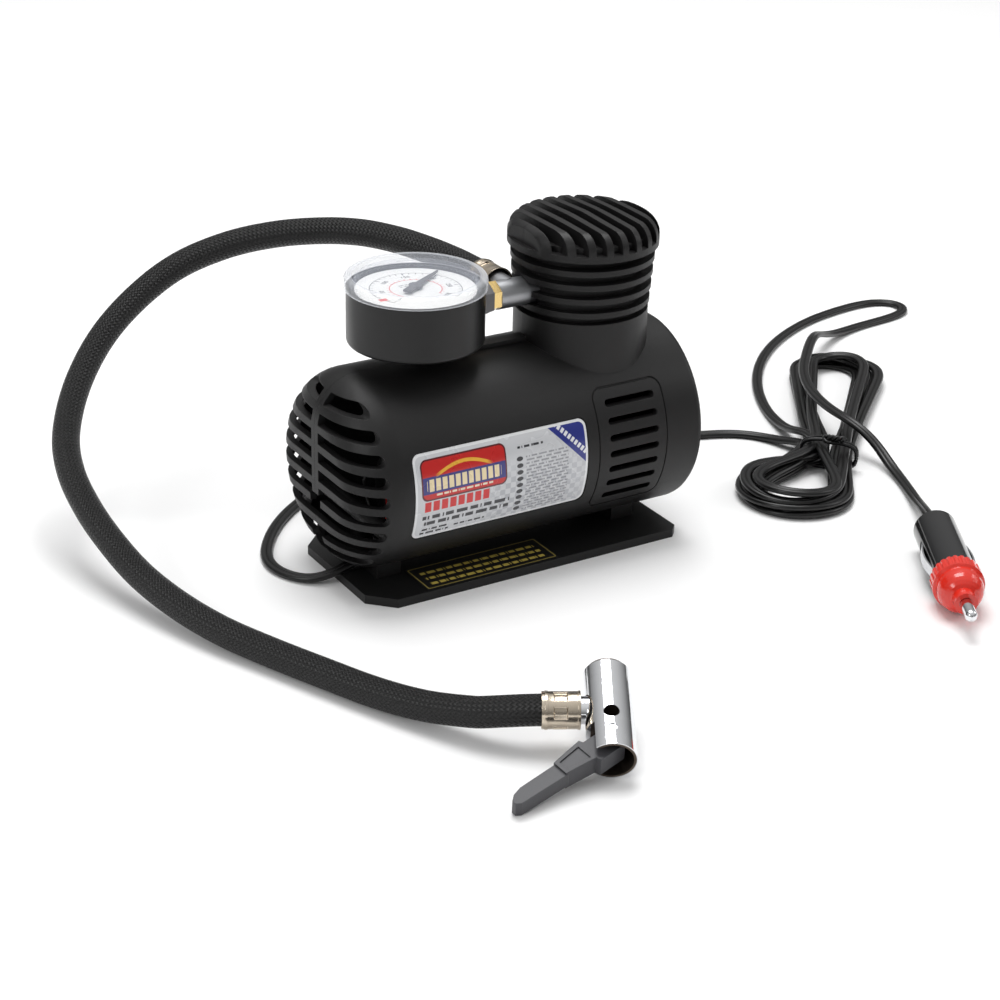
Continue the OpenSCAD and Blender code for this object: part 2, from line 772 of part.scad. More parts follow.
module connecting_rod() {
  color([0.83, 0.83, 0.84]) difference() {
    union() {
      for (q = [[crank_z, pin_r + 3], [wrist_z, wrist_r + 2]])
        translate([0, 0, q[0]]) rod_x(rod_x0, rod_x0 + rod_t, q[1]);
      translate([rod_x0 + 1, -2.6, crank_z]) cube([rod_t - 2, 5.2, wrist_z - crank_z]);
    }
    translate([0, 0, crank_z]) rod_x(rod_x0 - 1, rod_x0 + rod_t + 1, pin_r + run_fit);
    translate([0, 0, wrist_z]) rod_x(rod_x0 - 1, rod_x0 + rod_t + 1, wrist_r + run_fit);
  }
}

module wrist_pin() {
  color([0.78, 0.79, 0.8]) translate([0, 0, wrist_z])
    rod_x(head_x - bore_r + 1.2, head_x + bore_r - 1.2, wrist_r);
}

module piston() {
  color([0.8, 0.81, 0.82]) difference() {
    at_head() translate([0, 0, piston_top - piston_h]) difference() {
      cylinder(h = piston_h, r = bore_r - run_fit);
      translate([0, 0, piston_h - 2.6]) difference() {
        cylinder(h = 1.6, r = bore_r + 1);
        translate([0, 0, -1]) cylinder(h = 4, r = bore_r - 1.6);
      }
      translate([-rod_t / 2 - 0.5, -5.4, -1]) cube([rod_t + 1, 10.8, piston_h - 1.8]);
    }
    translate([0, 0, wrist_z]) rod_x(head_x - bore_r - 1, head_x + bore_r + 1, wrist_r + seat_fit);
  }
}

module piston_seal() {
  color([0.12, 0.12, 0.12]) at_head() translate([0, 0, piston_top - 2.5]) difference() {
    cylinder(h = 1.4, r = bore_r - 0.02);
    translate([0, 0, -1]) cylinder(h = 4, r = bore_r - 1.6 + seat_fit);
  }
}

module cylinder_flange(h) {
  difference() {
    cylinder(h = h, r = head_block_r - 0.5);
    for (a = [45:90:315]) rotate([0, 0, a])
      translate([head_screw_pcd / 2, 0, -1]) cylinder(h = h + 2, r = 1.5, $fn = 24);
  }
}

module cylinder_part() {
  difference() {
    union() {
      translate([0, 0, cyl_z0 - 1]) cylinder(h = cyl_top - cyl_z0 + 1, r = bore_r + cyl_wall);
      translate([0, 0, cyl_top - 3]) cylinder_flange(3);
      translate([0, 0, deck_z + flange_t]) cylinder_flange(2);
    }
    translate([0, 0, cyl_z0 - 2]) cylinder(h = cyl_top - cyl_z0 + 4, r = bore_r);
  }
}

module cylinder_liner() { color([0.7, 0.71, 0.73]) at_head() cylinder_part(); }

module head_gasket() {
  color([0.15, 0.15, 0.15]) at_head() translate([0, 0, cyl_top]) difference() {
    cylinder(h = 0.8, r = bore_r + cyl_wall);
    translate([0, 0, -1]) cylinder(h = 3, r = bore_r);
  }
}

block_z = cyl_top + 0.8;
valve_r = 3;

// Die-cast head with the outlet tube to the gauge and the boss for the hose
module cylinder_head() {
  color([0.7, 0.71, 0.73]) difference() {
    union() {
      at_head() translate([0, 0, block_z]) cylinder(h = head_block_h, r = head_block_r);
      translate([0, 0, outlet_z]) rod_x(outlet_x0, head_x, outlet_r);
      translate([barb_x, 0, barb_z]) rod_y(0, ferrule_y0 + 0.9, 4.6);
    }
    at_head() {
      translate([0, 0, block_z - 1]) cylinder(h = 3, r = 1.6);
      translate([0, 0, block_z + 1.8]) cylinder(h = head_block_h - 4, r = valve_r + 0.4);
    }
    translate([0, 0, outlet_z]) rod_x(outlet_x0 - 1, head_x, stem_r + seat_fit);
    translate([barb_x, 0, barb_z]) rod_y(0, ferrule_y0 + 2, 2.4);
    head_screw_places() translate([0, 0, block_z - 1])
      cylinder(h = head_block_h + 2, r = 1.5, $fn = 24);
  }
}

module head_screws() {
  tip = deck_z;
  color([0.7, 0.7, 0.72]) head_screw_places() translate([0, 0, tip])
    screw(block_z + head_block_h - tip, 1.25, 2.4, 2);
}

module outlet_valve() {
  color([0.12, 0.12, 0.12]) at_head() translate([0, 0, block_z + 1.85])
    cylinder(h = 1.2, r = valve_r);
}

// Conical spring drawn as its turns
module valve_spring() {
  turns = 3;
  steps = 12;
  z0 = block_z + 3.35;
  rise = head_block_h - 7;
  path = [for (i = [0:turns * steps]) let(a = 360 * i / steps)
    [head_x + 2 * cos(a), 2 * sin(a), z0 + rise * i / (turns * steps)]];
  color([0.75, 0.76, 0.78]) swept_tube(path, 0.5, 0.5, 6);
}

module outlet_nut() {
  color([0.85, 0.7, 0.32]) translate([0, 0, outlet_z]) difference() {
    hex_x(outlet_x0 - nut_l, outlet_x0, 10);
    rod_x(outlet_x0 - nut_l - 1, outlet_x0 + 1, stem_r + seat_fit);
  }
}

module gauge_stem() {
  x0 = gauge_x + gauge_r;
  color([0.3, 0.3, 0.31]) translate([0, 0, outlet_z]) difference() {
    union() {
      hex_x(x0, outlet_x0 - nut_l, 11.5);
      rod_x(x0 - case_wall - 3, outlet_x0 + 1, stem_r);
    }
    rod_x(x0 - 6, outlet_x0 + 2, 1);
  }
}

// ---- gauge ----
module gauge_case() {
  color([0.09, 0.09, 0.095]) difference() {
    union() {
      at_gauge() translate([0, 0, gauge_z0]) difference() {
        rotate_extrude($fn = 96) polygon(concat([[0, 0]],
          arc(gauge_r - 1.5, 1.5, 1.5, -90, 0, 4), [[gauge_r, gauge_h], [0, gauge_h]]));
        translate([0, 0, case_wall]) cylinder(h = gauge_h, r = gauge_r - case_wall, $fn = 96);
      }
      for (y = [-20, 20]) at_gauge() translate([0, y, gauge_z0 + 1])
        cylinder(h = dial_z - gauge_z0 - 1, r = 2.2);
    }
    translate([0, 0, outlet_z]) rod_x(gauge_x, gauge_x + gauge_r + 1, stem_r + seat_fit);
  }
}

module gauge_dial() {
  color([0.95, 0.95, 0.93]) at_gauge() translate([0, 0, dial_z]) difference() {
    cylinder(h = 0.6, r = gauge_r - case_wall - 1.6, $fn = 96);
    translate([0, 0, -1]) cylinder(h = 3, r = 0.9, $fn = 32);
  }
}

module gauge_needle() {
  color([0.3, 0.3, 0.32]) at_gauge() rotate([0, 0, needle_angle]) {
    translate([0, 0, needle_z]) cylinder(h = 0.8, r = 2.6, $fn = 48);
    translate([0, 0, needle_z]) linear_extrude(0.8)
      polygon([[-7, -1.6], [-7, 1.6], [0, 1.4], [needle_l, 0.25], [needle_l, -0.25], [0, -1.4]]);
    translate([0, 0, dial_z - 5]) cylinder(h = needle_z - dial_z + 5.4, r = 0.7, $fn = 32);
    translate([0, 0, dial_z - 4]) cylinder(h = 1.5, r = 2.2, $fn = 32);
  }
}

module gauge_cover() {
  in_r = gauge_r - case_wall;
  color([0.85, 0.88, 0.9, 0.4]) at_gauge() translate([0, 0, gauge_top]) difference() {
    union() {
      rotate_extrude($fn = 96) polygon(concat([[0, 0], [gauge_r + 0.85, 0]],
        arc(gauge_r + 0.85 - 1.4, cover_h - 1.4, 1.4, 0, 90, 4), [[0, cover_h]]));
      translate([0, 0, -2.4]) cylinder(h = 3, r = in_r - 0.05, $fn = 96);
    }
    translate([0, 0, -3]) cylinder(h = cover_h + 3 - 1.4, r = in_r - 1.25, $fn = 96);
  }
}

// Curved pressure tube on its socket, with the toothed quadrant's carrier
module bourdon_tube() {
  z = outlet_z;
  x1 = gauge_r - case_wall - 3;
  color([0.82, 0.66, 0.3]) at_gauge() {
    difference() {
      translate([x1 - 6, -3.5, z - 4]) cube([5.9, 7, 7.4]);
      translate([0, 0, z]) rod_x(x1 - 7, x1 + 1, 1);
    }
    translate([0, 0, z - 2.4]) rotate([0, 0, 10]) rotate_extrude(angle = 250, $fn = 64)
      translate([x1 - 5, 0]) square([1.6, 4.8]);
    difference() {
      translate([-6, -5, z - 4]) cube([12, 10, 1.4]);
      translate([0, 0, z - 5]) cylinder(h = 4, r = 1, $fn = 32);
    }
    translate([5, -3.5, z - 4]) cube([x1 - 10, 7, 1.4]);
  }
}

// ---- wiring ----
module lead_wires() {
  tab_x = can_x0 - 7;
  for (s = [-1, 1]) {
    path = [
      [gland_x0 + 0.1, -3 + s * 1.1, gland_z + 0.6], [gland_x0 + 1.4, -3 + s * 1.1, gland_z + 0.6],
      [gland_x0 + 2.8, -3 + s * 1.1, gland_z + 1.8], [gland_x0 + 2.7, -3 + s * 1.2, gland_z + 3.4],
      [tab_x + 2.8, s * 3, motor_z - 16.4], [tab_x, s * 4.5, motor_z - 12.5],
      [tab_x - 2.6, s * 6.5, motor_z - 6], [tab_x - 4, s * 8.4, motor_z + 0.5],
      [tab_x - 4, s * 9, motor_z + 5], [tab_x - 2.9, s * 9, motor_z + 7.5],
      [tab_x - 1.06, s * 9, motor_z + 7.8]];
    color(s < 0 ? "crimson" : "black") swept_tube(path, 1.4, 1.4, 8);
  }
}

module cord_gland() {
  color([0.08, 0.08, 0.085]) translate([0, -3, gland_z]) difference() {
    union() {
      rod_x(gland_x1 + 6, gland_x0, gland_r);
      translate([gland_x1, 0, 0]) rotate([0, 90, 0]) cylinder(h = 6.1, r1 = 2.5, r2 = gland_r);
      rod_x(gland_x1 + 9, gland_x1 + 10.4, gland_r + 0.1);
    }
    for (x = [1.5, 4, 6.5]) translate([gland_x1 + x, 0, 0]) difference() {
      rod_x(0, 0.8, 4);
      rod_x(-1, 2, 2.2);
    }
  }
}

// ---- hose and chuck ----
module hose() { color([0.07, 0.07, 0.075]) swept_tube(hose_route, hose_d, hose_d, 16); }

// Sleeve with a crimped waist, along +Z
module crimp_sleeve() {
  difference() {
    union() {
      cylinder(h = ferrule_l, r = ferrule_r);
      translate([0, 0, 3]) cylinder(h = 1.2, r = ferrule_r + 0.3);
    }
    translate([0, 0, -1]) cylinder(h = 3, r = 4.6 + seat_fit);
    translate([0, 0, 1]) cylinder(h = ferrule_l, r = hose_r + seat_fit);
    for (z = [6, 11]) translate([0, 0, z]) difference() {
      cylinder(h = 1.4, r = ferrule_r + 1);
      translate([0, 0, -1]) cylinder(h = 4, r = ferrule_r - 0.45);
    }
  }
}

module hose_barbs() {
  color([0.8, 0.66, 0.32]) {
    translate([barb_x, 0, barb_z]) rotate([-90, 0, 0]) barb_pin(2.4, ferrule_y0 + 10);
    at_chuck() translate([-chuck_r - 12, 0, 0]) rotate([0, 90, 0]) barb_pin(0, chuck_r + 8);
  }
}

module barb_pin(z0, z1) {
  difference() {
    translate([0, 0, z0]) cylinder(h = z1 - z0, r = 2.3);
    translate([0, 0, z0 - 1]) cylinder(h = z1 - z0 + 2, r = 1.1);
  }
}

module hose_ferrules() {
  color([0.72, 0.68, 0.6]) {
    translate([barb_x, ferrule_y0 - 1, barb_z]) rotate([-90, 0, 0]) crimp_sleeve();
    at_chuck() translate([-chuck_r - 1.2, 0, 0]) rotate([0, -90, 0]) crimp_sleeve();
  }
}

module chuck_body() {
  color([0.85, 0.86, 0.88]) at_chuck() difference() {
    union() {
      translate([0, 0, chuck_top - chuck_l]) cylinder(h = chuck_l - 1.5, r = chuck_r);
      translate([0, 0, chuck_top - 1.6]) cylinder(h = 1.6, r = chuck_r - 1);
      rotate([0, -90, 0]) cylinder(h = chuck_r + 2.2, r = 4.6);
    }
    translate([0, 0, chuck_top - chuck_l - 1]) cylinder(h = fork_l + 1, r = chuck_r - skirt_wall);
    translate([-chuck_r - 1, -hub_w / 2 - 0.3, chuck_top - chuck_l - 1])
      cube([chuck_r + 1, hub_w + 0.6, fork_l + 1]);
    translate([0, 0, seal_z - 0.1]) cylinder(h = chuck_top, r = valve_bore_d / 2);
    translate([0, 0, 1]) cylinder(h = seal_z - 1, r = 3.5);
    translate([0, 0, chuck_top - chuck_l + 3]) cylinder(h = chuck_l, r = depressor_r + run_fit);
    translate([0, 0, seal_z - 0.1]) cylinder(h = seal_h + 0.2, r = 5.4);
    rotate([0, -90, 0]) cylinder(h = chuck_r + 4, r = 2.3 + seat_fit);
    translate([0, -depressor_r - 0.8, chuck_top - hole_drop]) rotate([90, 0, 0]) cylinder(h = 12, r = 2.6);
    translate([0, 0, lever_pin_z]) rod_y(-chuck_r - 1, chuck_r + 1, lever_pin_r + seat_fit);
  }
}

module chuck_seal() {
  color([0.1, 0.1, 0.1]) at_chuck() translate([0, 0, seal_z]) difference() {
    cylinder(h = seal_h, r = 5.4 - seat_fit);
    translate([0, 0, -1]) cylinder(h = 10, r = valve_bore_d / 2);
  }
}

module chuck_pin() {
  color([0.82, 0.7, 0.36]) at_chuck() {
    translate([0, 0, lever_pin_z + lever_hub_r + 1])
      cylinder(h = 1 - lever_pin_z - lever_hub_r, r = depressor_r);
    translate([0, 0, 1.9]) cylinder(h = 1, r = 3.2);
    translate([0, 0, 1.9]) cylinder(h = seal_z - 2, r = 0.9);
  }
}

// Thumb lever in its own plane, pivot at the origin, arm along -Z
module lever_shape() {
  head = [[-lever_hub_r, 0], [-lever_hub_r, -9], [-5.2, -9.6], [-3.2, -arm_l], [2.6, -arm_l],
    [3.6, -10.2], [5.4, -9.6], [5.2, 1], [2, 3.2]];
  grip = [[-2.9, -arm_l + 1], [-2.6, 5.5 - lever_l], [-1.6, 2 - lever_l], [0, -lever_l],
    [1.6, -lever_l], [2.7, 1.6 - lever_l], [2.8, -arm_l + 1]];
  rod_y(-hub_w / 2, hub_w / 2, lever_hub_r);
  rotate([90, 0, 0]) {
    translate([0, 0, -arm_w / 2]) linear_extrude(arm_w) polygon(head);
    translate([0, 0, -grip_w / 2]) linear_extrude(grip_w) polygon(grip);
  }
}

module chuck_lever() {
  color([0.16, 0.16, 0.17]) at_chuck() translate([0, 0, lever_pin_z]) rotate([0, lever_angle, 0])
    difference() {
      lever_shape();
      rod_y(-8, 8, lever_pin_r + run_fit);
      for (y = [-arm_w / 2, arm_w / 2]) translate([0, y, 0]) rotate([90, 0, 0])
        linear_extrude(1, center = true) polygon([[-3.4, -11.4], [-2.2, 1.6 - arm_l],
          [1.6, 1.6 - arm_l], [2.5, -11.4]]);
    }
}

module lever_pin() {
  color([0.8, 0.81, 0.82]) at_chuck() translate([0, 0, lever_pin_z])
    rod_y(-chuck_r + 0.4, chuck_r - 0.4, lever_pin_r);
}

// ---- cord and plug ----
module cord_lead() { color([0.06, 0.06, 0.065]) swept_tube(lead_route, flex_w, flex_t, 8); }
module cord_tail() { color([0.06, 0.06, 0.065]) swept_tube(tail_route, flex_w, flex_t, 8); }

module hank_outline() {
  hull() {
    translate(hank_near) circle(hank_near_r, $fn = 32);
    translate(hank_waist) circle(hank_waist_r, $fn = 32);
  }
  hull() {
    translate(hank_far) circle(hank_far_r, $fn = 32);
    translate(hank_waist) circle(hank_waist_r, $fn = 32);
  }
}

module at_tie() {
  d = hank_far - hank_near;
  translate([hank_waist[0], hank_waist[1], 0]) rotate([0, 0, atan2(d[1], d[0])]) children();
}

module cord_hank() {
  color([0.06, 0.06, 0.065]) difference() {
    linear_extrude(hank_h) hank_outline();
    at_tie() difference() {
      translate([-tie_w / 2 - 0.3, -40, -1]) cube([tie_w + 0.6, 80, hank_h + 2]);
      translate([-tie_w, -hank_waist_r, tie_t]) cube([2 * tie_w, 2 * hank_waist_r, hank_h - 2 * tie_t]);
    }
  }
}

module cord_tie() {
  color([0.05, 0.05, 0.05]) at_tie() difference() {
    translate([-tie_w / 2, -hank_waist_r - tie_t, 0]) cube([tie_w, 2 * hank_waist_r + 2 * tie_t, hank_h]);
    translate([-tie_w, -hank_waist_r, tie_t]) cube([2 * tie_w, 2 * hank_waist_r, hank_h - 2 * tie_t]);
  }
}

fuse_r = 3.1;
leaf_x = 28;
leaf_l = 24;
leaf_w = 3.8;

module plug_body() {
  color([0.07, 0.07, 0.075]) at_plug() difference() {
    union() {
      rod_x(2, plug_l, plug_r);
      rotate([0, 90, 0]) cylinder(h = 2.1, r1 = plug_r - 1.4, r2 = plug_r);
      rod_x(plug_l - 0.1, plug_l + 6, plug_r - 2);
    }
    rod_x(6, plug_l + 7, fuse_r + seat_fit);
    rod_x(-1, 6.1, 2.6);
    for (y = [plug_r - 3.4, -plug_r - 1.6]) translate([leaf_x - leaf_l / 2, y, -leaf_w / 2 - seat_fit])
      cube([leaf_l, 5, leaf_w + 2 * seat_fit]);
  }
}

// Screw cap: grip ring with flutes, then a rounded nose
module plug_cap() {
  nose = concat([[0, 0], [cap_r, 0], [cap_r, 6.5], [cap_r - 1, 7.2]],
    arc(cap_r - 7.6, 9.4, 6.6, 5, 70, 5), [[4.2, cap_l], [0, cap_l]]);
  color([0.85, 0.16, 0.09]) at_plug() translate([plug_l, 0, 0]) rotate([0, 90, 0]) difference() {
    rotate_extrude($fn = 64) polygon(nose);
    translate([0, 0, -1]) cylinder(h = 7.1, r = plug_r - 2 + seat_fit);
    translate([0, 0, 5]) cylinder(h = cap_l - 7.5, r = 3.4);
    cylinder(h = cap_l + 1, r = tip_r + run_fit);
    for (a = [0:15:345]) rotate([0, 0, a]) translate([cap_r + 0.35, 0, -1])
      cylinder(h = 7, r = 0.8, $fn = 16);
  }
}

// Contact with its retaining collar and a rounded end
module plug_tip() {
  l = plug_l + cap_l + tip_out - tip_collar_x;
  shoulder = plug_l + cap_l + tip_gap - tip_collar_x;
  color([0.85, 0.86, 0.88]) at_plug() translate([tip_collar_x, 0, 0]) rotate([0, 90, 0])
    rotate_extrude($fn = 48) polygon(concat([[0, 0], [3.2, 0], [3.2, 1.6], [tip_neck_r, 1.6],
      [tip_neck_r, shoulder], [tip_r, shoulder]], arc(0, l - tip_r, tip_r, 0, 90, 8)));
}

tip_collar_x = plug_l + cap_l - 4.2;

module plug_spring() {
  turns = 6;
  steps = 10;
  x0 = plug_l - 11;
  x1 = tip_collar_x - 0.35;
  path = [for (i = [0:turns * steps]) let(a = 360 * i / steps)
    [x0 + (x1 - x0) * i / (turns * steps), 2.2 * cos(a), 2.2 * sin(a)]];
  color([0.75, 0.76, 0.78]) at_plug() swept_tube(path, 0.5, 0.5, 6);
}

module plug_fuse() {
  color([0.8, 0.85, 0.85]) at_plug() {
    rod_x(plug_l - 36, plug_l - 31, fuse_r);
    rod_x(plug_l - 32, plug_l - 20, fuse_r - 0.3);
    rod_x(plug_l - 21, plug_l - 16, fuse_r);
  }
}

// Bowed leaf contacts in the side windows
module plug_contacts() {
  bow_r = 40;
  color([0.8, 0.8, 0.82]) at_plug() for (s = [-1, 1])
    translate([leaf_x, s * (plug_r + 1.2 - bow_r), -leaf_w / 2]) linear_extrude(leaf_w) intersection() {
      difference() {
        circle(bow_r, $fn = 128);
        circle(bow_r - 0.6, $fn = 128);
      }
      translate([-leaf_l / 2 + seat_fit, s > 0 ? 0 : -bow_r - 1]) square([leaf_l - 2 * seat_fit, bow_r + 1]);
    }
}

front_housing();
rear_housing();
housing_screws();
base_plate();
base_screws();
front_label();
base_label();
motor_can();
motor_magnets();
motor_end_cap();
motor_bushings();
motor_brushes();
motor_terminals();
motor_screws();
armature_core();
armature_windings();
commutator();
motor_shaft();
motor_pinion();
gear_frame();
gear_shaft();
drive_gear();
crank_pin();
connecting_rod();
wrist_pin();
piston();
piston_seal();
cylinder_liner();  // cylinder
head_gasket();
cylinder_head();
head_screws();
outlet_valve();
valve_spring();
outlet_nut();
gauge_stem();
gauge_case();
gauge_dial();
gauge_needle();
gauge_cover();
bourdon_tube();
lead_wires();
cord_gland();
hose();
hose_barbs();
hose_ferrules();
chuck_body();
chuck_seal();
chuck_pin();
chuck_lever();
lever_pin();
cord_lead();
cord_hank();
cord_tie();
cord_tail();
plug_body();
plug_cap();
plug_tip();
plug_spring();
plug_fuse();
plug_contacts();
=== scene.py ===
"""Looks of a portable tire inflator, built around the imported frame.

Every length is in metres, in the frame of the CAD model: X runs along the
barrel towards the pump head, the label faces -Y, Z is up.
"""

import logging
import math
from contextlib import contextmanager
from dataclasses import dataclass
from enum import Enum
from typing import Callable, Iterator, Optional, Sequence, Union

import bpy
import numpy as np
from mathutils import Matrix, Vector


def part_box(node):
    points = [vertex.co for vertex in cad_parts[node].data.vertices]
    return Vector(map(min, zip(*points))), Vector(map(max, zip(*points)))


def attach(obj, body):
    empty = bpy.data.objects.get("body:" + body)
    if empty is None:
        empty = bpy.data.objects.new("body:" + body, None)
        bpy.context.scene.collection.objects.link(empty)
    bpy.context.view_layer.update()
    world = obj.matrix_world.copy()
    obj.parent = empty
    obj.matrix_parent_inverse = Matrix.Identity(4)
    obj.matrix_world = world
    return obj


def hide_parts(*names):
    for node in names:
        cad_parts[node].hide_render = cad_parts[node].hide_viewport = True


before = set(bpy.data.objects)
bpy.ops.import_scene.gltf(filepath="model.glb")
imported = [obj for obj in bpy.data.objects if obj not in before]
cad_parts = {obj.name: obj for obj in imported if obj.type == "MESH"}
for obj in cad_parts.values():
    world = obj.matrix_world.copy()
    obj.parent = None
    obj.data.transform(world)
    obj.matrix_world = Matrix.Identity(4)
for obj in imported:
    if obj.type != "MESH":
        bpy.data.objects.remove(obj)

logging.basicConfig(level=logging.INFO, format="%(name)s: %(message)s")
log = logging.getLogger("inflator")

MM = 0.001
Point = tuple[float, float, float]
Colour = tuple[float, float, float]
Number = Union[float, "Term"]
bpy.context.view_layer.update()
NODES: dict[str, bpy.types.Object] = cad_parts
UP = Vector((0, 0, 1))


# ---------------------------------------------------------------- shaders
class Term:
    """A shader socket that takes part in arithmetic."""

    def __init__(self, book: "Book", socket: bpy.types.NodeSocket) -> None:
        """Wraps one output socket of a recipe's node tree."""
        self.book = book
        self.socket = socket

    def math(self, operation: str, *others: Number) -> "Term":
        """Adds one Math node.

        Args:
            operation: Name of the Math node's operation.
            others: Second and third operand.

        Returns:
            The node's result.
        """
        inputs: dict[int, Number] = {0: self}
        inputs.update({i + 1: other for i, other in enumerate(others)})
        return self.book.make("ShaderNodeMath", {"operation": operation}, inputs)

    def __add__(self, other: Number) -> "Term":
        """Sum."""
        return self.math("ADD", other)

    __radd__ = __add__

    def __mul__(self, other: Number) -> "Term":
        """Product."""
        return self.math("MULTIPLY", other)

    __rmul__ = __mul__

    def __sub__(self, other: Number) -> "Term":
        """Difference."""
        return self.math("SUBTRACT", other)

    def __rsub__(self, other: float) -> "Term":
        """Difference with the number first."""
        return self.math("MULTIPLY", -1.0) + other

    def __truediv__(self, other: Number) -> "Term":
        """Quotient."""
        return self.math("DIVIDE", other)

    def __pow__(self, other: Number) -> "Term":
        """Power."""
        return self.math("POWER", other)

    def __mod__(self, other: Number) -> "Term":
        """Remainder that is never negative."""
        return self.math("FLOORED_MODULO", other)

    def __abs__(self) -> "Term":
        """Size without sign."""
        return self.math("ABSOLUTE")

    def __and__(self, other: "Term") -> "Term":
        """Overlap of two masks."""
        return self.math("MULTIPLY", other)

    def __or__(self, other: "Term") -> "Term":
        """Union of two masks."""
        return self.math("MAXIMUM", other)

    def above(self, level: Number, soft: float = 0.0) -> "Term":
        """Mask of where the value is above a level, with a soft edge if asked."""
        if soft <= 0:
            return self.math("GREATER_THAN", level)
        return ((self - level) / (2 * soft) + 0.5).math("MAXIMUM", 0.0).math("MINIMUM", 1.0)

    def below(self, level: Number, soft: float = 0.0) -> "Term":
        """Mask of where the value is below a level."""
        return 1.0 - self.above(level, soft)

    def within(self, low: float, high: float, soft: float = 0.0) -> "Term":
        """Mask of where the value lies between two levels."""
        return self.above(low, soft) & self.below(high, soft)


class Book:
    """The node tree of one material, and the nodes it is written in."""

    def __init__(self, name: str) -> None:
        """Starts a material with a Principled shader and nothing else."""
        self.material = bpy.data.materials.new(name)
        self.material.use_nodes = True
        self.tree = self.material.node_tree
        self.tree.nodes.clear()
        self.output = self.tree.nodes.new("ShaderNodeOutputMaterial")
        self.shader = self.tree.nodes.new("ShaderNodeBsdfPrincipled")
        self.tree.links.new(self.shader.outputs[0], self.output.inputs[0])

    def make(self, kind: str, settings: Optional[dict] = None, inputs: Optional[dict] = None,
             out: Union[int, str] = 0) -> Term:
        """Adds a node.

        Args:
            kind: Type of the node.
            settings: Its own settings.
            inputs: Values or terms for its sockets, by number or name.
            out: Which output is returned.

        Returns:
            The chosen output as a term.
        """
        node = self.tree.nodes.new(kind)
        for key, value in (settings or {}).items():
            setattr(node, key, value)
        for key, value in (inputs or {}).items():
            self.plug(node.inputs[key], value)
        return Term(self, node.outputs[out])

    def plug(self, socket: bpy.types.NodeSocket, value: Union[Number, Sequence[float]]) -> None:
        """Links a term to a socket, or writes a plain value on it."""
        if isinstance(value, Term):
            self.tree.links.new(value.socket, socket)
        elif isinstance(value, tuple) and len(value) == 3 and len(socket.default_value) == 4:
            socket.default_value = (*value, 1.0)
        else:
            socket.default_value = value

    def place(self) -> Term:
        """Object coordinates in metres."""
        return self.make("ShaderNodeTexCoord", out="Object")

    def axes(self, vector: Optional[Term] = None) -> tuple[Term, Term, Term]:
        """X, Y and Z of a vector, or of the place on the object."""
        split = self.make("ShaderNodeSeparateXYZ", inputs={0: vector or self.place()})
        node = split.socket.node
        return tuple(Term(self, node.outputs[i]) for i in range(3))

    def centred(self, node: str) -> tuple[Term, Term]:
        """X and Y measured from the middle of a CAD node's box."""
        low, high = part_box(node)
        x, y, _ = self.axes()
        return x - (low.x + high.x) / 2, y - (low.y + high.y) / 2

    def uv(self) -> tuple[Term, Term]:
        """Around and along coordinates of a swept piece."""
        x, y, _ = self.axes(self.make("ShaderNodeTexCoord", out="UV"))
        return x, y

    def noise(self, scale: float, detail: float = 2.0, rough: float = 0.5,
              vector: Optional[Term] = None) -> Term:
        """Noise between 0 and 1 on the place on the object."""
        return self.make("ShaderNodeTexNoise", inputs={
            "Vector": vector or self.place(), "Scale": scale, "Detail": detail, "Roughness": rough})

    def stretched(self, x: float, y: float, z: float) -> Term:
        """Object coordinates with each axis scaled."""
        return self.make("ShaderNodeMapping", inputs={"Vector": self.place(), "Scale": (x, y, z)})

    def mix(self, mask: Number, low: Union[Colour, Term], high: Union[Colour, Term]) -> Term:
        """Colour that goes from low to high as the mask goes from 0 to 1."""
        return self.make("ShaderNodeMix", {"data_type": "RGBA"}, {0: mask, 6: low, 7: high}, out=2)

    def layered(self, colour: Term, layers: Sequence[tuple[Term, Colour]]) -> Term:
        """Colour with masked layers of other colours laid over it, in order."""
        for mask, ink in layers:
            colour = self.mix(mask, colour, ink)
        return colour

    def bump(self, height: Term, depth: float, strength: float = 1.0,
             normal: Optional[Term] = None) -> Term:
        """Normal of a surface that a height between 0 and 1 roughens by depth metres."""
        inputs: dict[str, Number] = {"Height": height, "Distance": depth, "Strength": strength}
        if normal is not None:
            inputs["Normal"] = normal
        return self.make("ShaderNodeBump", inputs=inputs)

    def rounded(self, radius: float) -> Optional[Term]:
        """Normal with sharp edges eased over a radius, or nothing for none."""
        if radius <= 0:
            return None
        return self.make("ShaderNodeBevel", {"samples": 4}, {"Radius": radius})

    def finish(self, **sockets: Union[Number, Sequence[float], Term]) -> bpy.types.Material:
        """Fills the shader's sockets; a name's underscores stand for spaces."""
        for key, value in sockets.items():
            self.plug(self.shader.inputs[key.replace("_", " ")], value)
        return self.material


def reach(a: Term, b: Term) -> Term:
    """Length of a vector of two terms."""
    return (a * a + b * b) ** 0.5


class Grain(Enum):
    """How a moulded surface is textured, as cells per metre."""

    SPARK = 2600.0
    SATIN = 5200.0
    POLISHED = 900.0


@dataclass(frozen=True)
class Moulded:
    """Moulded polymer with a textured skin."""

    name: str
    colour: Colour
    roughness: float
    grain: Grain
    depth: float = 0.05 * MM
    coat: float = 0.0
    mottle: float = 0.12
    specular: float = 0.5
    edge: float = 0.0

    def build(self) -> bpy.types.Material:
        """Makes the material."""
        book = Book(self.name)
        fine = book.noise(self.grain.value, 3.0, 0.6)
        broad = book.noise(38.0, 3.0)
        dark = tuple(c * (1 - self.mottle) for c in self.colour)
        light = tuple(min(1.0, c * (1 + self.mottle)) for c in self.colour)
        return book.finish(
            Base_Color=book.mix(broad, dark, light),
            Roughness=self.roughness + (broad - 0.5) * 0.12 + (fine - 0.5) * 0.08,
            Coat_Weight=self.coat,
            Specular_IOR_Level=self.specular,
            Normal=book.bump(fine, self.depth, 0.5, book.rounded(self.edge)))


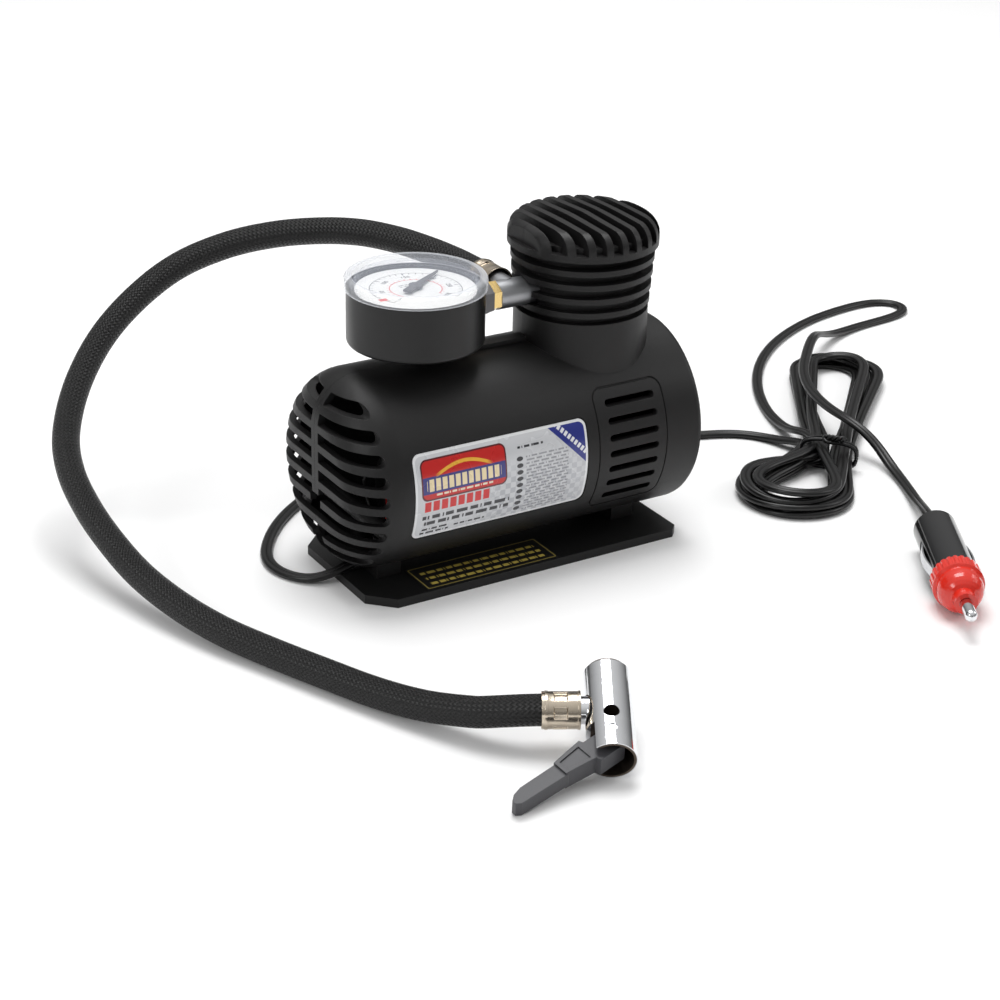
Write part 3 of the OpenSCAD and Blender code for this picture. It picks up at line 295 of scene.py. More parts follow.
@dataclass(frozen=True)
class Plated:
    """Bare, plated or cast metal."""

    name: str
    colour: Colour
    roughness: float
    stretch: tuple[float, float, float] = (1.0, 1.0, 1.0)
    scale: float = 700.0
    depth: float = 0.01 * MM
    stain: Colour = (0.35, 0.33, 0.30)
    stain_share: float = 0.15

    def build(self) -> bpy.types.Material:
        """Makes the material."""
        book = Book(self.name)
        lines = book.noise(self.scale, 3.0, 0.55, book.stretched(*self.stretch))
        cloud = book.noise(90.0, 4.0)
        spots = cloud.above(0.5, 0.2) * self.stain_share
        return book.finish(
            Base_Color=book.mix(spots, self.colour, self.stain),
            Metallic=1.0,
            Roughness=self.roughness + (lines - 0.5) * 0.12 + (cloud - 0.5) * 0.08,
            Normal=book.bump(lines, self.depth, 0.4))


@dataclass(frozen=True)
class ChuckChrome:
    """Chrome on the chuck's outside, with shade painted inside its holes: there the colour is dark
    brown and the surface rougher.
    """

    name: str = "chuck_chrome"
    skin: float = 7.7 * MM
    blind_end: float = -6.5 * MM

    def build(self) -> bpy.types.Material:
        """Makes the material."""
        book = Book(self.name)
        turn = tuple(ChuckPlace.turn().to_euler())
        local = book.make(
            "ShaderNodeVectorRotate", {"rotation_type": "EULER_XYZ", "invert": True},
            {"Vector": book.place(), "Center": ChuckPlace.CENTRE, "Rotation": turn})
        x, y, _ = book.axes(local)
        dx, dy = x - ChuckPlace.CENTRE[0], y - ChuckPlace.CENTRE[1]
        # inside: the chuck's holes, where shade is painted into the colour and the roughness rises
        inside = reach(dx, dy).below(self.skin, 0.1 * MM) & dx.above(self.blind_end)
        pits = book.noise(260.0, 4.0)
        wave = book.noise(70.0, 2.0)
        return book.finish(
            # painted shade: the walls inside the holes are coloured dark brown
            Base_Color=book.mix(inside, (0.80, 0.81, 0.83), (0.10, 0.08, 0.065)),
            Metallic=1.0, Roughness=0.08 + inside * 0.4 + pits.above(0.62, 0.06) * 0.12,
            Normal=book.bump(wave * 0.7 + pits * 0.3, 0.12 * MM, 0.6))


class ChuckPlace:
    """Where the chuck lies: its own frame has the hose along +X, the mouth at +Z."""

    CENTRE: Point = (-0.045, -0.149, 0.014)
    HEADING_DEG = -30
    ROLL_DEG = -75

    @classmethod
    def turn(cls) -> Matrix:
        """Rotation from the chuck's own frame to the object's."""
        return (Matrix.Rotation(math.radians(cls.HEADING_DEG), 3, "Z")
                @ Matrix.Rotation(math.radians(cls.ROLL_DEG), 3, "X"))


@dataclass(frozen=True)
class Braid:
    """Black woven sleeve over a rubber hose, on the sweep's own coordinates."""

    name: str = "braid"
    carriers: int = 22
    threads: int = 6
    pitch: float = 1.75 * MM

    def build(self) -> bpy.types.Material:
        """Makes the material."""
        book = Book(self.name)
        around, along = book.uv()
        turn = around * float(self.carriers)
        rise = along / self.pitch
        one, other = turn + rise, turn - rise
        left, right = ((way * math.pi).math("SINE") for way in (one, other))
        over = (((one % 2.0) - 1.0) * ((other % 2.0) - 1.0)).above(0.0)
        under = 1.0 - over
        weave = abs(left) * over + abs(right) * under
        fine = math.pi * self.threads
        threads = (other * fine * over + one * fine * under).math("SINE")
        fuzz = book.noise(900.0, 3.0)
        height = weave * 0.8 + threads * 0.06 + fuzz * 0.14
        # Base colour: painted shade and highlight, following the weave's height: darker in the dips
        # between strands and lighter on their crests, with random fuzz mixed in
        return book.finish(
            Base_Color=book.mix(height, (0.001, 0.001, 0.001), (0.009, 0.0088, 0.009)),
            Roughness=0.56 - weave * 0.24 + (fuzz - 0.5) * 0.1,
            Specular_IOR_Level=0.36,
            Normal=book.bump(height, 0.45 * MM, 1.0))


@dataclass(frozen=True)
class Flex:
    """Soft black vinyl of the twin cord, with faint draw lines along it."""

    name: str = "flex"

    def build(self) -> bpy.types.Material:
        """Makes the material."""
        book = Book(self.name)
        around, along = book.uv()
        ripple = book.noise(1.0, 3.0, 0.5, book.make("ShaderNodeCombineXYZ", inputs={
            0: around * 40.0, 1: along * 90.0, 2: 0.0}))
        dust = book.noise(260.0, 4.0)
        return book.finish(
            Base_Color=book.mix(dust.above(0.6, 0.15) * 0.3,
                                (0.0032, 0.0031, 0.0032), (0.012, 0.0115, 0.011)),
            Roughness=0.26 + ripple * 0.14,
            Specular_IOR_Level=0.4,
            Normal=book.bump(ripple, 0.05 * MM, 0.6))


@dataclass(frozen=True)
class ClearShell:
    """Clear heavy-walled polycarbonate that lets the dial through; the pale rings near its edge are
    painted highlights, and it turns paler and more opaque where it faces away from view, as a
    painted reflection.
    """

    name: str = "clear_shell"

    def build(self) -> bpy.types.Material:
        """Makes the material."""
        book = Book(self.name)
        low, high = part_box("gauge_cover")
        share = reach(*book.centred("gauge_cover")) / ((high.x - low.x) / 2)
        # painted highlight rings: near the edge a narrow grey ring and a paler outer band are made
        # more opaque, standing for the cover's bright ring reflections
        highlight_rings = share.above(0.905, 0.012) * 0.26 + share.within(0.885, 0.905, 0.006) * 0.3
        # painted reflection: more opacity, showing the pale colour, where the surface turns away
        # from view
        rim_reflection = book.make("ShaderNodeLayerWeight", inputs={"Blend": 0.42}, out="Facing")
        haze = book.noise(420.0, 4.0)
        scratch = book.noise(240.0, 2.0, 0.5, book.stretched(1.0, 12.0, 1.0)).above(0.66, 0.05)
        # the paler base colour beyond nine tenths of the radius is part of the painted highlight
        # rings
        return book.finish(
            Base_Color=book.mix(share.above(0.9, 0.02), (0.50, 0.53, 0.60), (0.74, 0.76, 0.80)),
            Roughness=0.05 + haze * 0.06 + scratch * 0.1,
            Alpha=0.02 + highlight_rings + rim_reflection ** 2.2 * 0.5 + scratch * 0.02,
            IOR=1.55,
            Specular_IOR_Level=0.7)


@dataclass(frozen=True)
class Lacquered:
    """Copper wire laid in turns."""

    name: str = "winding_wire"
    pitch: float = 0.6 * MM

    def build(self) -> bpy.types.Material:
        """Makes the material."""
        book = Book(self.name)
        x, _, _ = book.axes()
        wire = abs((x * (math.pi / self.pitch)).math("SINE"))
        tint = book.noise(300.0, 2.0)
        # Base colour: painted shade and highlight, bright copper on each turn's crest and dark
        # brown in the grooves between turns, with a random tint mixed in
        return book.finish(
            Base_Color=book.mix(wire * 0.8 + tint * 0.2, (0.16, 0.05, 0.02), (0.62, 0.28, 0.12)),
            Metallic=0.9, Roughness=0.3 + tint * 0.12,
            Normal=book.bump(wire, 0.15 * MM, 0.7))


@dataclass(frozen=True)
class Stacked:
    """Edges of thin iron sheets pressed together."""

    name: str = "sheet_stack"
    pitch: float = 0.5 * MM

    def build(self) -> bpy.types.Material:
        """Makes the material."""
        book = Book(self.name)
        x, _, _ = book.axes()
        gap = (x / self.pitch % 1.0).below(0.18)
        rust = book.noise(500.0, 4.0)
        return book.finish(
            Base_Color=book.mix(gap * 0.7, (0.30, 0.30, 0.31), (0.06, 0.055, 0.05)),
            Metallic=0.85, Roughness=0.38 + rust * 0.2,
            Normal=book.bump(gap + rust * 0.3, 0.06 * MM, 0.5))


@dataclass(frozen=True)
class WirePair:
    """Two vinyl wires, one red and one black, told apart by side."""

    name: str = "wire_pair"

    def build(self) -> bpy.types.Material:
        """Makes the material."""
        book = Book(self.name)
        _, y, _ = book.axes()
        sheen = book.noise(900.0, 2.0)
        return book.finish(
            Base_Color=book.mix(y.above(-3 * MM), (0.45, 0.02, 0.02), (0.012, 0.012, 0.012)),
            Roughness=0.35 + sheen * 0.15, Normal=book.bump(sheen, 0.03 * MM, 0.4))


class Sheet2D:
    """Flat shapes on a printed film, as masks of two coordinates."""

    def __init__(self, u: Term, v: Term, soft: float = 0.06 * MM) -> None:
        """Takes the film's two coordinates in metres and the softness of an edge."""
        self.u = u
        self.v = v
        self.soft = soft

    def bar(self, u0: float, u1: float, v0: float, v1: float) -> Term:
        """Plain rectangle, in millimetres."""
        return (self.u.within(u0 * MM, u1 * MM, self.soft)
                & self.v.within(v0 * MM, v1 * MM, self.soft))

    def across(self, low: float, high: float, soft: float = 0.0) -> Term:
        """Strip between two distances from the left edge, in millimetres."""
        return self.u.within(low * MM, high * MM, soft * MM)

    def upwards(self, low: float, high: float, soft: float = 0.0) -> Term:
        """Strip between two heights over the lower edge, in millimetres."""
        return self.v.within(low * MM, high * MM, soft * MM)

    @staticmethod
    def blocks(axis: Term, pitch: float, low: float, high: float, soft: float) -> Term:
        """Repeated blocks along an axis: the pitch in millimetres, the rest as shares of it."""
        return ((axis / (pitch * MM)) % 1.0).within(low, high, soft)

    def panel(self, u0: float, u1: float, v0: float, v1: float, r: float) -> Term:
        """Rectangle with rounded corners, in millimetres."""
        du = (abs(self.u - (u0 + u1) / 2 * MM) - ((u1 - u0) / 2 - r) * MM).math("MAXIMUM", 0.0)
        dv = (abs(self.v - (v0 + v1) / 2 * MM) - ((v1 - v0) / 2 - r) * MM).math("MAXIMUM", 0.0)
        return reach(du, dv).below(r * MM, self.soft)

    def rows(self, u0: float, u1: float, v0: float, v1: float, pitch: float, fill: float,
             dash: float, seed: float) -> Term:
        """Rows of broken dashes that stand for small print.

        Args:
            u0: Left end of the rows, in millimetres.
            u1: Right end.
            v0: Lower edge of the lowest row.
            v1: Upper edge of the highest row.
            pitch: Distance from row to row.
            fill: Share of the pitch that a row's print takes up.
            dash: Measure of a dash's length, in millimetres.
            seed: Shifts the dashes, so that two blocks of rows differ.

        Returns:
            The rows' mask.
        """
        count = (self.v - v0 * MM) / (pitch * MM)
        row = count.math("FLOOR")
        line = (count % 1.0).below(fill, 0.05)
        wave = ((self.u / (dash * MM)) + row * 3.7 + seed).math("SINE")
        wave = wave + ((self.u / (dash * 0.37 * MM)) + row * 1.9).math("SINE") * 0.6
        return self.bar(u0, u1, v0, v1) & line & wave.above(-0.55, 0.1)


@dataclass(frozen=True)
class LabelPrint:
    """Silver film with generic printed blocks, sized by the film's own box."""

    name: str = "label_print"
    margin: float = 0.9
    heading: tuple[float, float] = (2.6, 38.0)
    column_left: float = 31.0
    ovals: int = 9

    def build(self) -> bpy.types.Material:
        """Makes the material; the numbers are millimetres on the film."""
        low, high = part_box("front_label")
        book = Book(self.name)
        x, _, z = book.axes()
        film = Sheet2D(x - low.x, z - low.z)
        w, h = (high.x - low.x) / MM, (high.z - low.z) / MM
        body = film.panel(self.margin, w - self.margin, self.margin, h - self.margin, 2.4)
        # faint chequer that fades out at both sides
        cell = 2.2 * MM
        odd = (((film.u / cell).math("FLOOR") + (film.v / cell).math("FLOOR")) % 2.0).above(0.5)
        fade = film.across(w * 0.42, w * 0.98, 6) & film.v.below(h * 0.62 * MM, 5 * MM)
        # heading panel, with a band of blocks and a swoosh above it
        (p0, p1), q0, q1 = self.heading, h - 17.4, h - 2.2
        inner = film.panel(p0 + 0.6, p1 - 0.6, q0 + 0.6, q1 - 0.6, 2.1)
        title = (film.blocks(film.u, 2.7, 0.14, 0.86, 0.04)
                 & film.panel(p0 + 2.2, p1 - 2.4, q0 + 3.5, q0 + 8.0, 0.8))
        stripe = (inner & film.upwards(q0 + 1.5, q0 + 2.3, 0.06)
                  & film.rows(p0 + 6, p1 - 6, q0 + 1.4, q0 + 2.4, 1.0, 0.9, 0.5, 1.0))
        bow = ((film.u - (p0 + 5) * MM) / (26 * MM) * math.pi).math("SINE")
        arch = film.v - (q0 + 8.8) * MM - 3.8 * MM * bow
        swoosh = arch.within(-1.0 * MM, 0.25 * MM, 0.1 * MM) & film.across(p0 + 7, p1 - 7, 1.2)
        # bars and rows of small print under the panel
        bars = (film.panel(3.2, 31.0, 11.2, 15.2, 0.5)
                & film.blocks(film.u, 3.45, 0.12, 0.88, 0.04))
        prints = (film.rows(3.2, 39.5, 5.4, 10.6, 2.6, 0.6, 0.85, 0.0)
                  | film.rows(3.2, 15.0, 1.4, 4.6, 1.6, 0.55, 0.6, 2.0)
                  | film.rows(17.2, 30.0, 2.4, 4.0, 1.6, 0.5, 0.5, 4.0)
                  | film.rows(w - 30.0, w - 19.0, h - 5.6, h - 4.2, 1.4, 0.6, 0.6, 5.0))
        # right column: dark ovals, each with a row of print
        u0, pitch = w - self.column_left, (h - 10.0) / self.ovals
        cell_v = ((film.v - 2.0 * MM) / (pitch * MM)) % 1.0
        oval = ((((film.u - (u0 + 1.6) * MM) / (1.35 * MM)) ** 2.0)
                + (((cell_v - 0.5) / 0.34) ** 2.0)).below(1.0, 0.1)
        ovals = oval & film.upwards(2.0, h - 8.0, 0.05) & film.across(u0, u0 + 3.2)
        rows = film.rows(u0 + 4.2, w - 8.5, 2.0, h - 8.0, pitch / 2, 0.5, 0.62, 3.0)
        # flash in the upper right corner, with figures along it
        slant = film.u + film.v
        flash = slant.above((w + h - 17.0) * MM, 0.08 * MM) & body
        figures = (flash & slant.within((w + h - 14.2) * MM, (w + h - 11.6) * MM, 0.06 * MM)
                   & film.blocks(film.u - film.v, 2.6, 0.15, 0.8, 0.05))
        film_grey = book.mix(odd & fade, (0.60, 0.61, 0.63), (0.44, 0.45, 0.48))
        colour = book.layered(film_grey, (
            (1.0 - body, (0.78, 0.79, 0.80)),
            (film.panel(p0, p1, q0, q1, 2.6), (0.10, 0.008, 0.012)),
            (inner, (0.55, 0.014, 0.012)),
            (inner & film.upwards(q0 + 2.6, q0 + 8.9, 0.08), (0.035, 0.035, 0.20)),
            (title, (0.82, 0.68, 0.42)),
            (stripe, (0.80, 0.70, 0.55)),
            (swoosh & inner, (0.85, 0.45, 0.05)),
            (bars, (0.60, 0.02, 0.02)),
            (prints, (0.025, 0.025, 0.03)),
            (ovals, (0.03, 0.03, 0.035)),
            (rows * 0.7, (0.16, 0.16, 0.18)),
            (flash, (0.02, 0.03, 0.22)),
            (figures, (0.80, 0.81, 0.83))))
        gloss = book.noise(60.0, 3.0)
        orange_peel = book.noise(1300.0, 2.0)
        return book.finish(
            Base_Color=colour, Metallic=0.12, Roughness=0.22 + gloss * 0.1,
            Coat_Weight=0.4, Normal=book.bump(orange_peel, 0.02 * MM, 0.4))


@dataclass(frozen=True)
class StickerPrint:
    """Small black film with three pale rows."""

    name: str = "sticker_print"

    def build(self) -> bpy.types.Material:
        """Makes the material."""
        low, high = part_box("base_label")
        book = Book(self.name)
        x, y, _ = book.axes()
        film = Sheet2D(x - low.x, y - low.y)
        w, h = (high.x - low.x) / MM, (high.y - low.y) / MM
        rows = film.rows(3.5, w - 3.5, 3.0, h - 2.4, (h - 5.4) / 3, 0.42, 0.62, 0.0)
        border = (film.panel(0.6, w - 0.6, 0.6, h - 0.6, 0.8)
                  & (1.0 - film.panel(1.1, w - 1.1, 1.1, h - 1.1, 0.6)))
        dust = book.noise(500.0, 3.0)
        printed = book.mix(rows, (0.012, 0.012, 0.012), (0.62, 0.48, 0.10))
        colour = book.mix(border * 0.8, printed, (0.45, 0.36, 0.10))
        return book.finish(Base_Color=colour, Roughness=0.3 + dust * 0.15,
                           Normal=book.bump(dust, 0.02 * MM, 0.4))


@dataclass(frozen=True)
class DialPrint:
    """White dial with tick rings, a red inner arc and a red block."""

    name: str = "dial_print"

    def build(self) -> bpy.types.Material:
        """Makes the material."""
        book = Book(self.name)
        dx, dy = book.centred("gauge_dial")
        radius = reach(dx, dy) / MM
        turn = dy.math("ARCTAN2", dx) * (180 / math.pi)
        # 0 at the start of the scale, growing clockwise to 270
        scale = (DialFace.START_DEG - turn) % 360.0
        live = scale.below(DialFace.SWEEP_DEG + 0.8)

        def ticks(step: float, width: float, r0: float, r1: float) -> Term:
            """Ring of radial lines, width in degrees."""
            near = ((scale + width) % step).below(2 * width)
            return near & radius.within(r0, r1, 0.05) & live

        black = (ticks(DialFace.SWEEP_DEG / 30, 0.45, 15.4, 16.6)
                 | ticks(DialFace.SWEEP_DEG / 6, 0.75, 14.6, 16.8)
                 | (radius.within(16.6, 16.85, 0.05) & live))
        red = ((radius.within(9.3, 9.65, 0.05) & live)
               | ticks(DialFace.SWEEP_DEG / 21, 0.8, 9.5, 10.6))
        block = (dx.within(-17.6 * MM, -14.4 * MM) & dy.within(-6.2 * MM, -3.8 * MM))
        film = Sheet2D(dx, dy, 0.05 * MM)
        print_rows = film.rows(-4.4, 4.4, 3.2, 6.2, 1.5, 0.5, 0.35, 1.0)
        paper = book.noise(700.0, 3.0)
        colour = book.layered(book.mix(paper * 0.2, (0.86, 0.86, 0.85), (0.74, 0.74, 0.73)), (
            (black, (0.05, 0.05, 0.06)),
            ((red | block) * 0.9, (0.72, 0.04, 0.05)),
            (print_rows * 0.7, (0.12, 0.12, 0.13))))
        return book.finish(Base_Color=colour, Roughness=0.5 + paper * 0.1,
                           Normal=book.bump(paper, 0.01 * MM, 0.3))


@dataclass(frozen=True)
class DialFace:
    """Numbers on the dial, on a flat ring just above it."""

    START_DEG = 214.0
    SWEEP_DEG = 270.0
    figures: tuple[str, ...] = ("0", "50", "100", "150", "200", "250", "300")
    radius: float = 12.6 * MM
    height: float = 2.5 * MM
    ink_thick: float = 0.02 * MM

    def build(self, ink: bpy.types.Material) -> bpy.types.Object:
        """Makes the printed numbers as one thin mesh.

        Args:
            ink: Material of the numbers.

        Returns:
            The finished piece.
        """
        low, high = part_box("gauge_dial")
        centre = Vector(((low.x + high.x) / 2, (low.y + high.y) / 2, high.z + self.ink_thick))
        made = []
        for i, figure in enumerate(self.figures):
            angle = math.radians(self.START_DEG - i * self.SWEEP_DEG / (len(self.figures) - 1))
            bench_clear()
            bpy.ops.object.text_add(location=(0, 0, 0))
            text = bpy.context.object
            text.data.body = figure
            text.data.size = self.height
            text.data.align_x = "CENTER"
            text.data.align_y = "CENTER"
            text.data.extrude = self.ink_thick
            bpy.ops.object.convert(target="MESH")
            printed = bpy.context.object
            spot = centre + Vector((math.cos(angle), math.sin(angle), 0)) * self.radius
            upright = Matrix.Rotation(angle - math.pi / 2, 4, "Z")
            printed.data.transform(Matrix.Translation(spot) @ upright)
            made.append(printed)
        return joined(made, "dial_numbers", ink)


# ---------------------------------------------------------------- shaping
def bench_clear() -> None:
    """Leaves edit mode and selects nothing."""
    if bpy.context.object is not None and bpy.context.object.mode != "OBJECT":
        bpy.ops.object.mode_set(mode="OBJECT")
    bpy.ops.object.select_all(action="DESELECT")


def take(piece: bpy.types.Object) -> None:
    """Makes one piece the only selected and active one."""
    bench_clear()
    piece.select_set(True)
    bpy.context.view_layer.objects.active = piece


def settle(piece: bpy.types.Object) -> None:
    """Puts a piece's place, turn and scale into its mesh."""
    take(piece)
    bpy.ops.object.transform_apply(location=True, rotation=True, scale=True)


@contextmanager
def editing(piece: bpy.types.Object) -> Iterator[None]:
    """Holds a piece in edit mode, with all of its mesh selected."""
    take(piece)
    bpy.ops.object.mode_set(mode="EDIT")
    bpy.ops.mesh.select_all(action="SELECT")
    yield
    bpy.ops.object.mode_set(mode="OBJECT")


@contextmanager
def chosen_faces(piece: bpy.types.Object, test: Callable[[Vector, Vector], bool]) -> Iterator[None]:
    """Holds a piece in edit mode, with the faces selected that pass a test.

    Args:
        piece: Mesh to work on.
        test: Takes a face's centre and normal.
    """
    take(piece)
    bpy.ops.object.mode_set(mode="EDIT")
    bpy.ops.mesh.select_mode(type="FACE")
    bpy.ops.mesh.select_all(action="DESELECT")
    bpy.ops.object.mode_set(mode="OBJECT")
    for face in piece.data.polygons:
        face.select = bool(test(face.center, face.normal))
    bpy.ops.object.mode_set(mode="EDIT")
    yield
    bpy.ops.object.mode_set(mode="OBJECT")


def clothe(piece: bpy.types.Object, material: bpy.types.Material) -> None:
    """Leaves a mesh with one material slot, which holds the material."""
    piece.data.materials.clear()
    piece.data.materials.append(material)


def link(name: str, data: bpy.types.ID) -> bpy.types.Object:
    """Puts data on a new object of the scene."""
    piece = bpy.data.objects.new(name, data)
    bpy.context.scene.collection.objects.link(piece)
    return piece


def joined(pieces: Sequence[bpy.types.Object], name: str,
           material: bpy.types.Material) -> bpy.types.Object:
    """Joins pieces into one.

    Args:
        pieces: Objects to join; there are at least two.
        name: Name of the object and of its mesh.
        material: Its only material.

    Returns:
        The joined object.
    """
    bench_clear()
    for piece in pieces:
        piece.select_set(True)
    bpy.context.view_layer.objects.active = pieces[0]
    bpy.ops.object.join()
    piece = bpy.context.view_layer.objects.active
    piece.name = name
    piece.data.name = name
    clothe(piece, material)
    return piece


def modify(piece: bpy.types.Object, kind: str, **settings: object) -> None:
    """Adds a modifier to a piece and applies it.

    Args:
        piece: Mesh to change.
        kind: Type of the modifier.
        settings: The modifier's own settings.
    """
    take(piece)
    modifier = piece.modifiers.new(kind.title(), kind)
    for key, value in settings.items():
        setattr(modifier, key, value)
    bpy.ops.object.modifier_apply(modifier=modifier.name)


def dress(piece: bpy.types.Object, material: bpy.types.Material) -> None:
    """Gives every material slot of a piece one material."""
    if not piece.material_slots:
        piece.data.materials.append(material)
    for slot in piece.material_slots:
        slot.material = material


def smooth_route(points: Sequence[Point], step: float, ease: float = 0.0) -> list[Vector]:
    """Smooth line through points given in millimetres.

    Args:
        points: Points that the line passes through.
        step: Distance between the points returned, in metres.
        ease: Half the length over which corners are eased, in metres.

    Returns:
        Points in metres, from the first to the last.
    """
    raw = np.array(points, float) * MM
    pts = np.vstack([2 * raw[0] - raw[1], raw, 2 * raw[-1] - raw[-2]])
    fine_step = step * 0.2
    dense: list[np.ndarray] = []
    for i in range(1, len(pts) - 2):
        a, b, c, d = pts[i - 1:i + 3]
        n = max(4, int(np.linalg.norm(c - b) / fine_step))
        for k in range(n):
            t = k / n
            dense.append(0.5 * (2 * b + (c - a) * t + (2 * a - 5 * b + 4 * c - d) * t * t
                                + (3 * b - 3 * c + d - a) * t ** 3))
    dense.append(pts[-2])
    line = np.array(dense)
    run = run_along(line)
    if ease > 0:
        line = resampled(line, run, int(run[-1] / fine_step))
        index = np.arange(len(line))
        near = np.minimum(max(1, int(ease / fine_step)), np.minimum(index, index[::-1]))
        for _ in range(3):
            total = np.vstack([np.zeros(3), np.cumsum(line, axis=0)])
            line = (total[index + near + 1] - total[index - near]) / (2 * near + 1)[:, None]
        run = run_along(line)
    count = max(2, int(round(run[-1] / step)))
    return [Vector(point.tolist()) for point in resampled(line, run, count + 1)]


def run_along(line: np.ndarray) -> np.ndarray:
    """Distance along a line at each of its points."""
    return np.concatenate([[0], np.cumsum(np.linalg.norm(np.diff(line, axis=0), axis=1))])


def resampled(line: np.ndarray, run: np.ndarray, count: int) -> np.ndarray:
    """A line's course as a number of evenly spaced points."""
    spots = np.linspace(0, run[-1], count)
    return np.column_stack([np.interp(spots, run, line[:, k]) for k in range(3)])


def length_of(line: Sequence[Vector]) -> float:
    """Length of a line of points."""
    return sum((b - a).length for a, b in zip(line, line[1:]))


# a line steeper than this (sine of its angle to the vertical) keeps the last sideways direction
STEEP = 0.05
SWEEP_SHARP_DEG = 50


def sweep(name: str, line: Sequence[Vector], profile: Sequence[tuple[float, float]],
          material: bpy.types.Material) -> bpy.types.Object:
    """Tube of one profile along a line, its sides kept level.

    Args:
        name: Name of the piece.
        line: Points that the tube follows.
        profile: Outline, as (sideways, upwards) pairs in metres.
        material: Finish of the tube.

    Returns:
        The finished piece, with U around and V along in metres.
    """
    count, sides = len(line), len(profile)
    verts: list[Vector] = []
    side = UP.cross(line[1] - line[0]).normalized()
    for i, point in enumerate(line):
        way = (line[min(i + 1, count - 1)] - line[max(i - 1, 0)]).normalized()
        level = UP.cross(way)
        if level.length <= STEEP:
            level = side - way * side.dot(way)
        side = level.normalized()
        up = way.cross(side)
        verts += [point + side * x + up * y for x, y in profile]
    faces = [(i * sides + k, i * sides + (k + 1) % sides,
              (i + 1) * sides + (k + 1) % sides, (i + 1) * sides + k)
             for i in range(count - 1) for k in range(sides)]
    caps = [tuple(range(sides))[::-1], tuple((count - 1) * sides + k for k in range(sides))]
    mesh = bpy.data.meshes.new(name)
    mesh.from_pydata([tuple(v) for v in verts], [], faces + caps)
    uv = mesh.uv_layers.new(name="sweep")
    run = [0.0]
    for a, b in zip(line, line[1:]):
        run.append(run[-1] + (b - a).length)
    for face in mesh.polygons[:len(faces)]:
        i, k = divmod(face.index, sides)
        for n, loop in enumerate(face.loop_indices):
            uv.data[loop].uv = ((k + (n in (1, 2))) / sides, run[i + (n in (2, 3))])
    for face in mesh.polygons[len(faces):]:
        for loop in face.loop_indices:
            uv.data[loop].uv = (0.0, 0.0)
    mesh.materials.append(material)
    piece = link(name, mesh)
    with editing(piece):
        bpy.ops.mesh.normals_make_consistent(inside=False)
    bpy.ops.object.shade_smooth_by_angle(angle=math.radians(SWEEP_SHARP_DEG))
    return piece


def ring_profile(radius: float, sides: int) -> list[tuple[float, float]]:
    """Round outline."""
    angles = [2 * math.pi * k / sides for k in range(sides)]
    return [(radius * math.cos(a), radius * math.sin(a)) for a in angles]


def twin_profile(strand_r: float, offset: float, steps: int = 8) -> list[tuple[float, float]]:
    """Outline of two round strands moulded side by side."""
    open_angle = math.pi - math.acos(offset / strand_r)
    right = [(offset + strand_r * math.cos(a), strand_r * math.sin(a))
             for a in np.linspace(-open_angle, open_angle, steps + 1)[:-1]]
    left = [(-x, -y) for x, y in right]
    return right + left


def ride_on(piece: bpy.types.Object, body: str) -> bpy.types.Object:
    """Ties a new piece to its body, and reports it."""
    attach(piece, body)
    log.info("%s on %s, %d faces", piece.name, body, len(piece.data.polygons))
    return piece


def turned(direction: Vector, origin: Vector) -> Matrix:
    """Matrix that takes +Z to a direction and the origin to a point."""
    return Matrix.Translation(origin) @ direction.to_track_quat("Z", "Y").to_matrix().to_4x4()


# ---------------------------------------------------------------- housing
@dataclass
class Housing:
    """The two moulded halves, as copies whose curved skin is shaded smooth."""

    halves: tuple[str, ...] = ("front_housing", "rear_housing")
    weld: float = 0.01 * MM
    flat_deg: float = 0.2
    sharp_deg: float = 30.0

    def half(self, node: str, shell: bpy.types.Material) -> bpy.types.Object:
        """Copies one half, welds its facets together and smooths them.

        Args:
            node: Name of the CAD node.
            shell: Finish.

        Returns:
            The finished half.
        """
        mesh = NODES[node].data.copy()
        mesh.name = node + "_skin"
        piece = link(mesh.name, mesh)
        take(piece)
        if mesh.has_custom_normals:
            bpy.ops.mesh.customdata_custom_splitnormals_clear()
        with editing(piece):
            bpy.ops.mesh.remove_doubles(threshold=self.weld)
            bpy.ops.mesh.dissolve_limited(angle_limit=math.radians(self.flat_deg))
        bpy.ops.object.shade_smooth_by_angle(angle=math.radians(self.sharp_deg))
        modify(piece, "WEIGHTED_NORMAL", keep_sharp=True)
        dress(piece, shell)
        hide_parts(node)
        return piece

    def build(self, kit: "Finishes") -> None:
        """Makes both halves."""
        for node in self.halves:
            ride_on(self.half(node, kit["shell"]), "inflator")


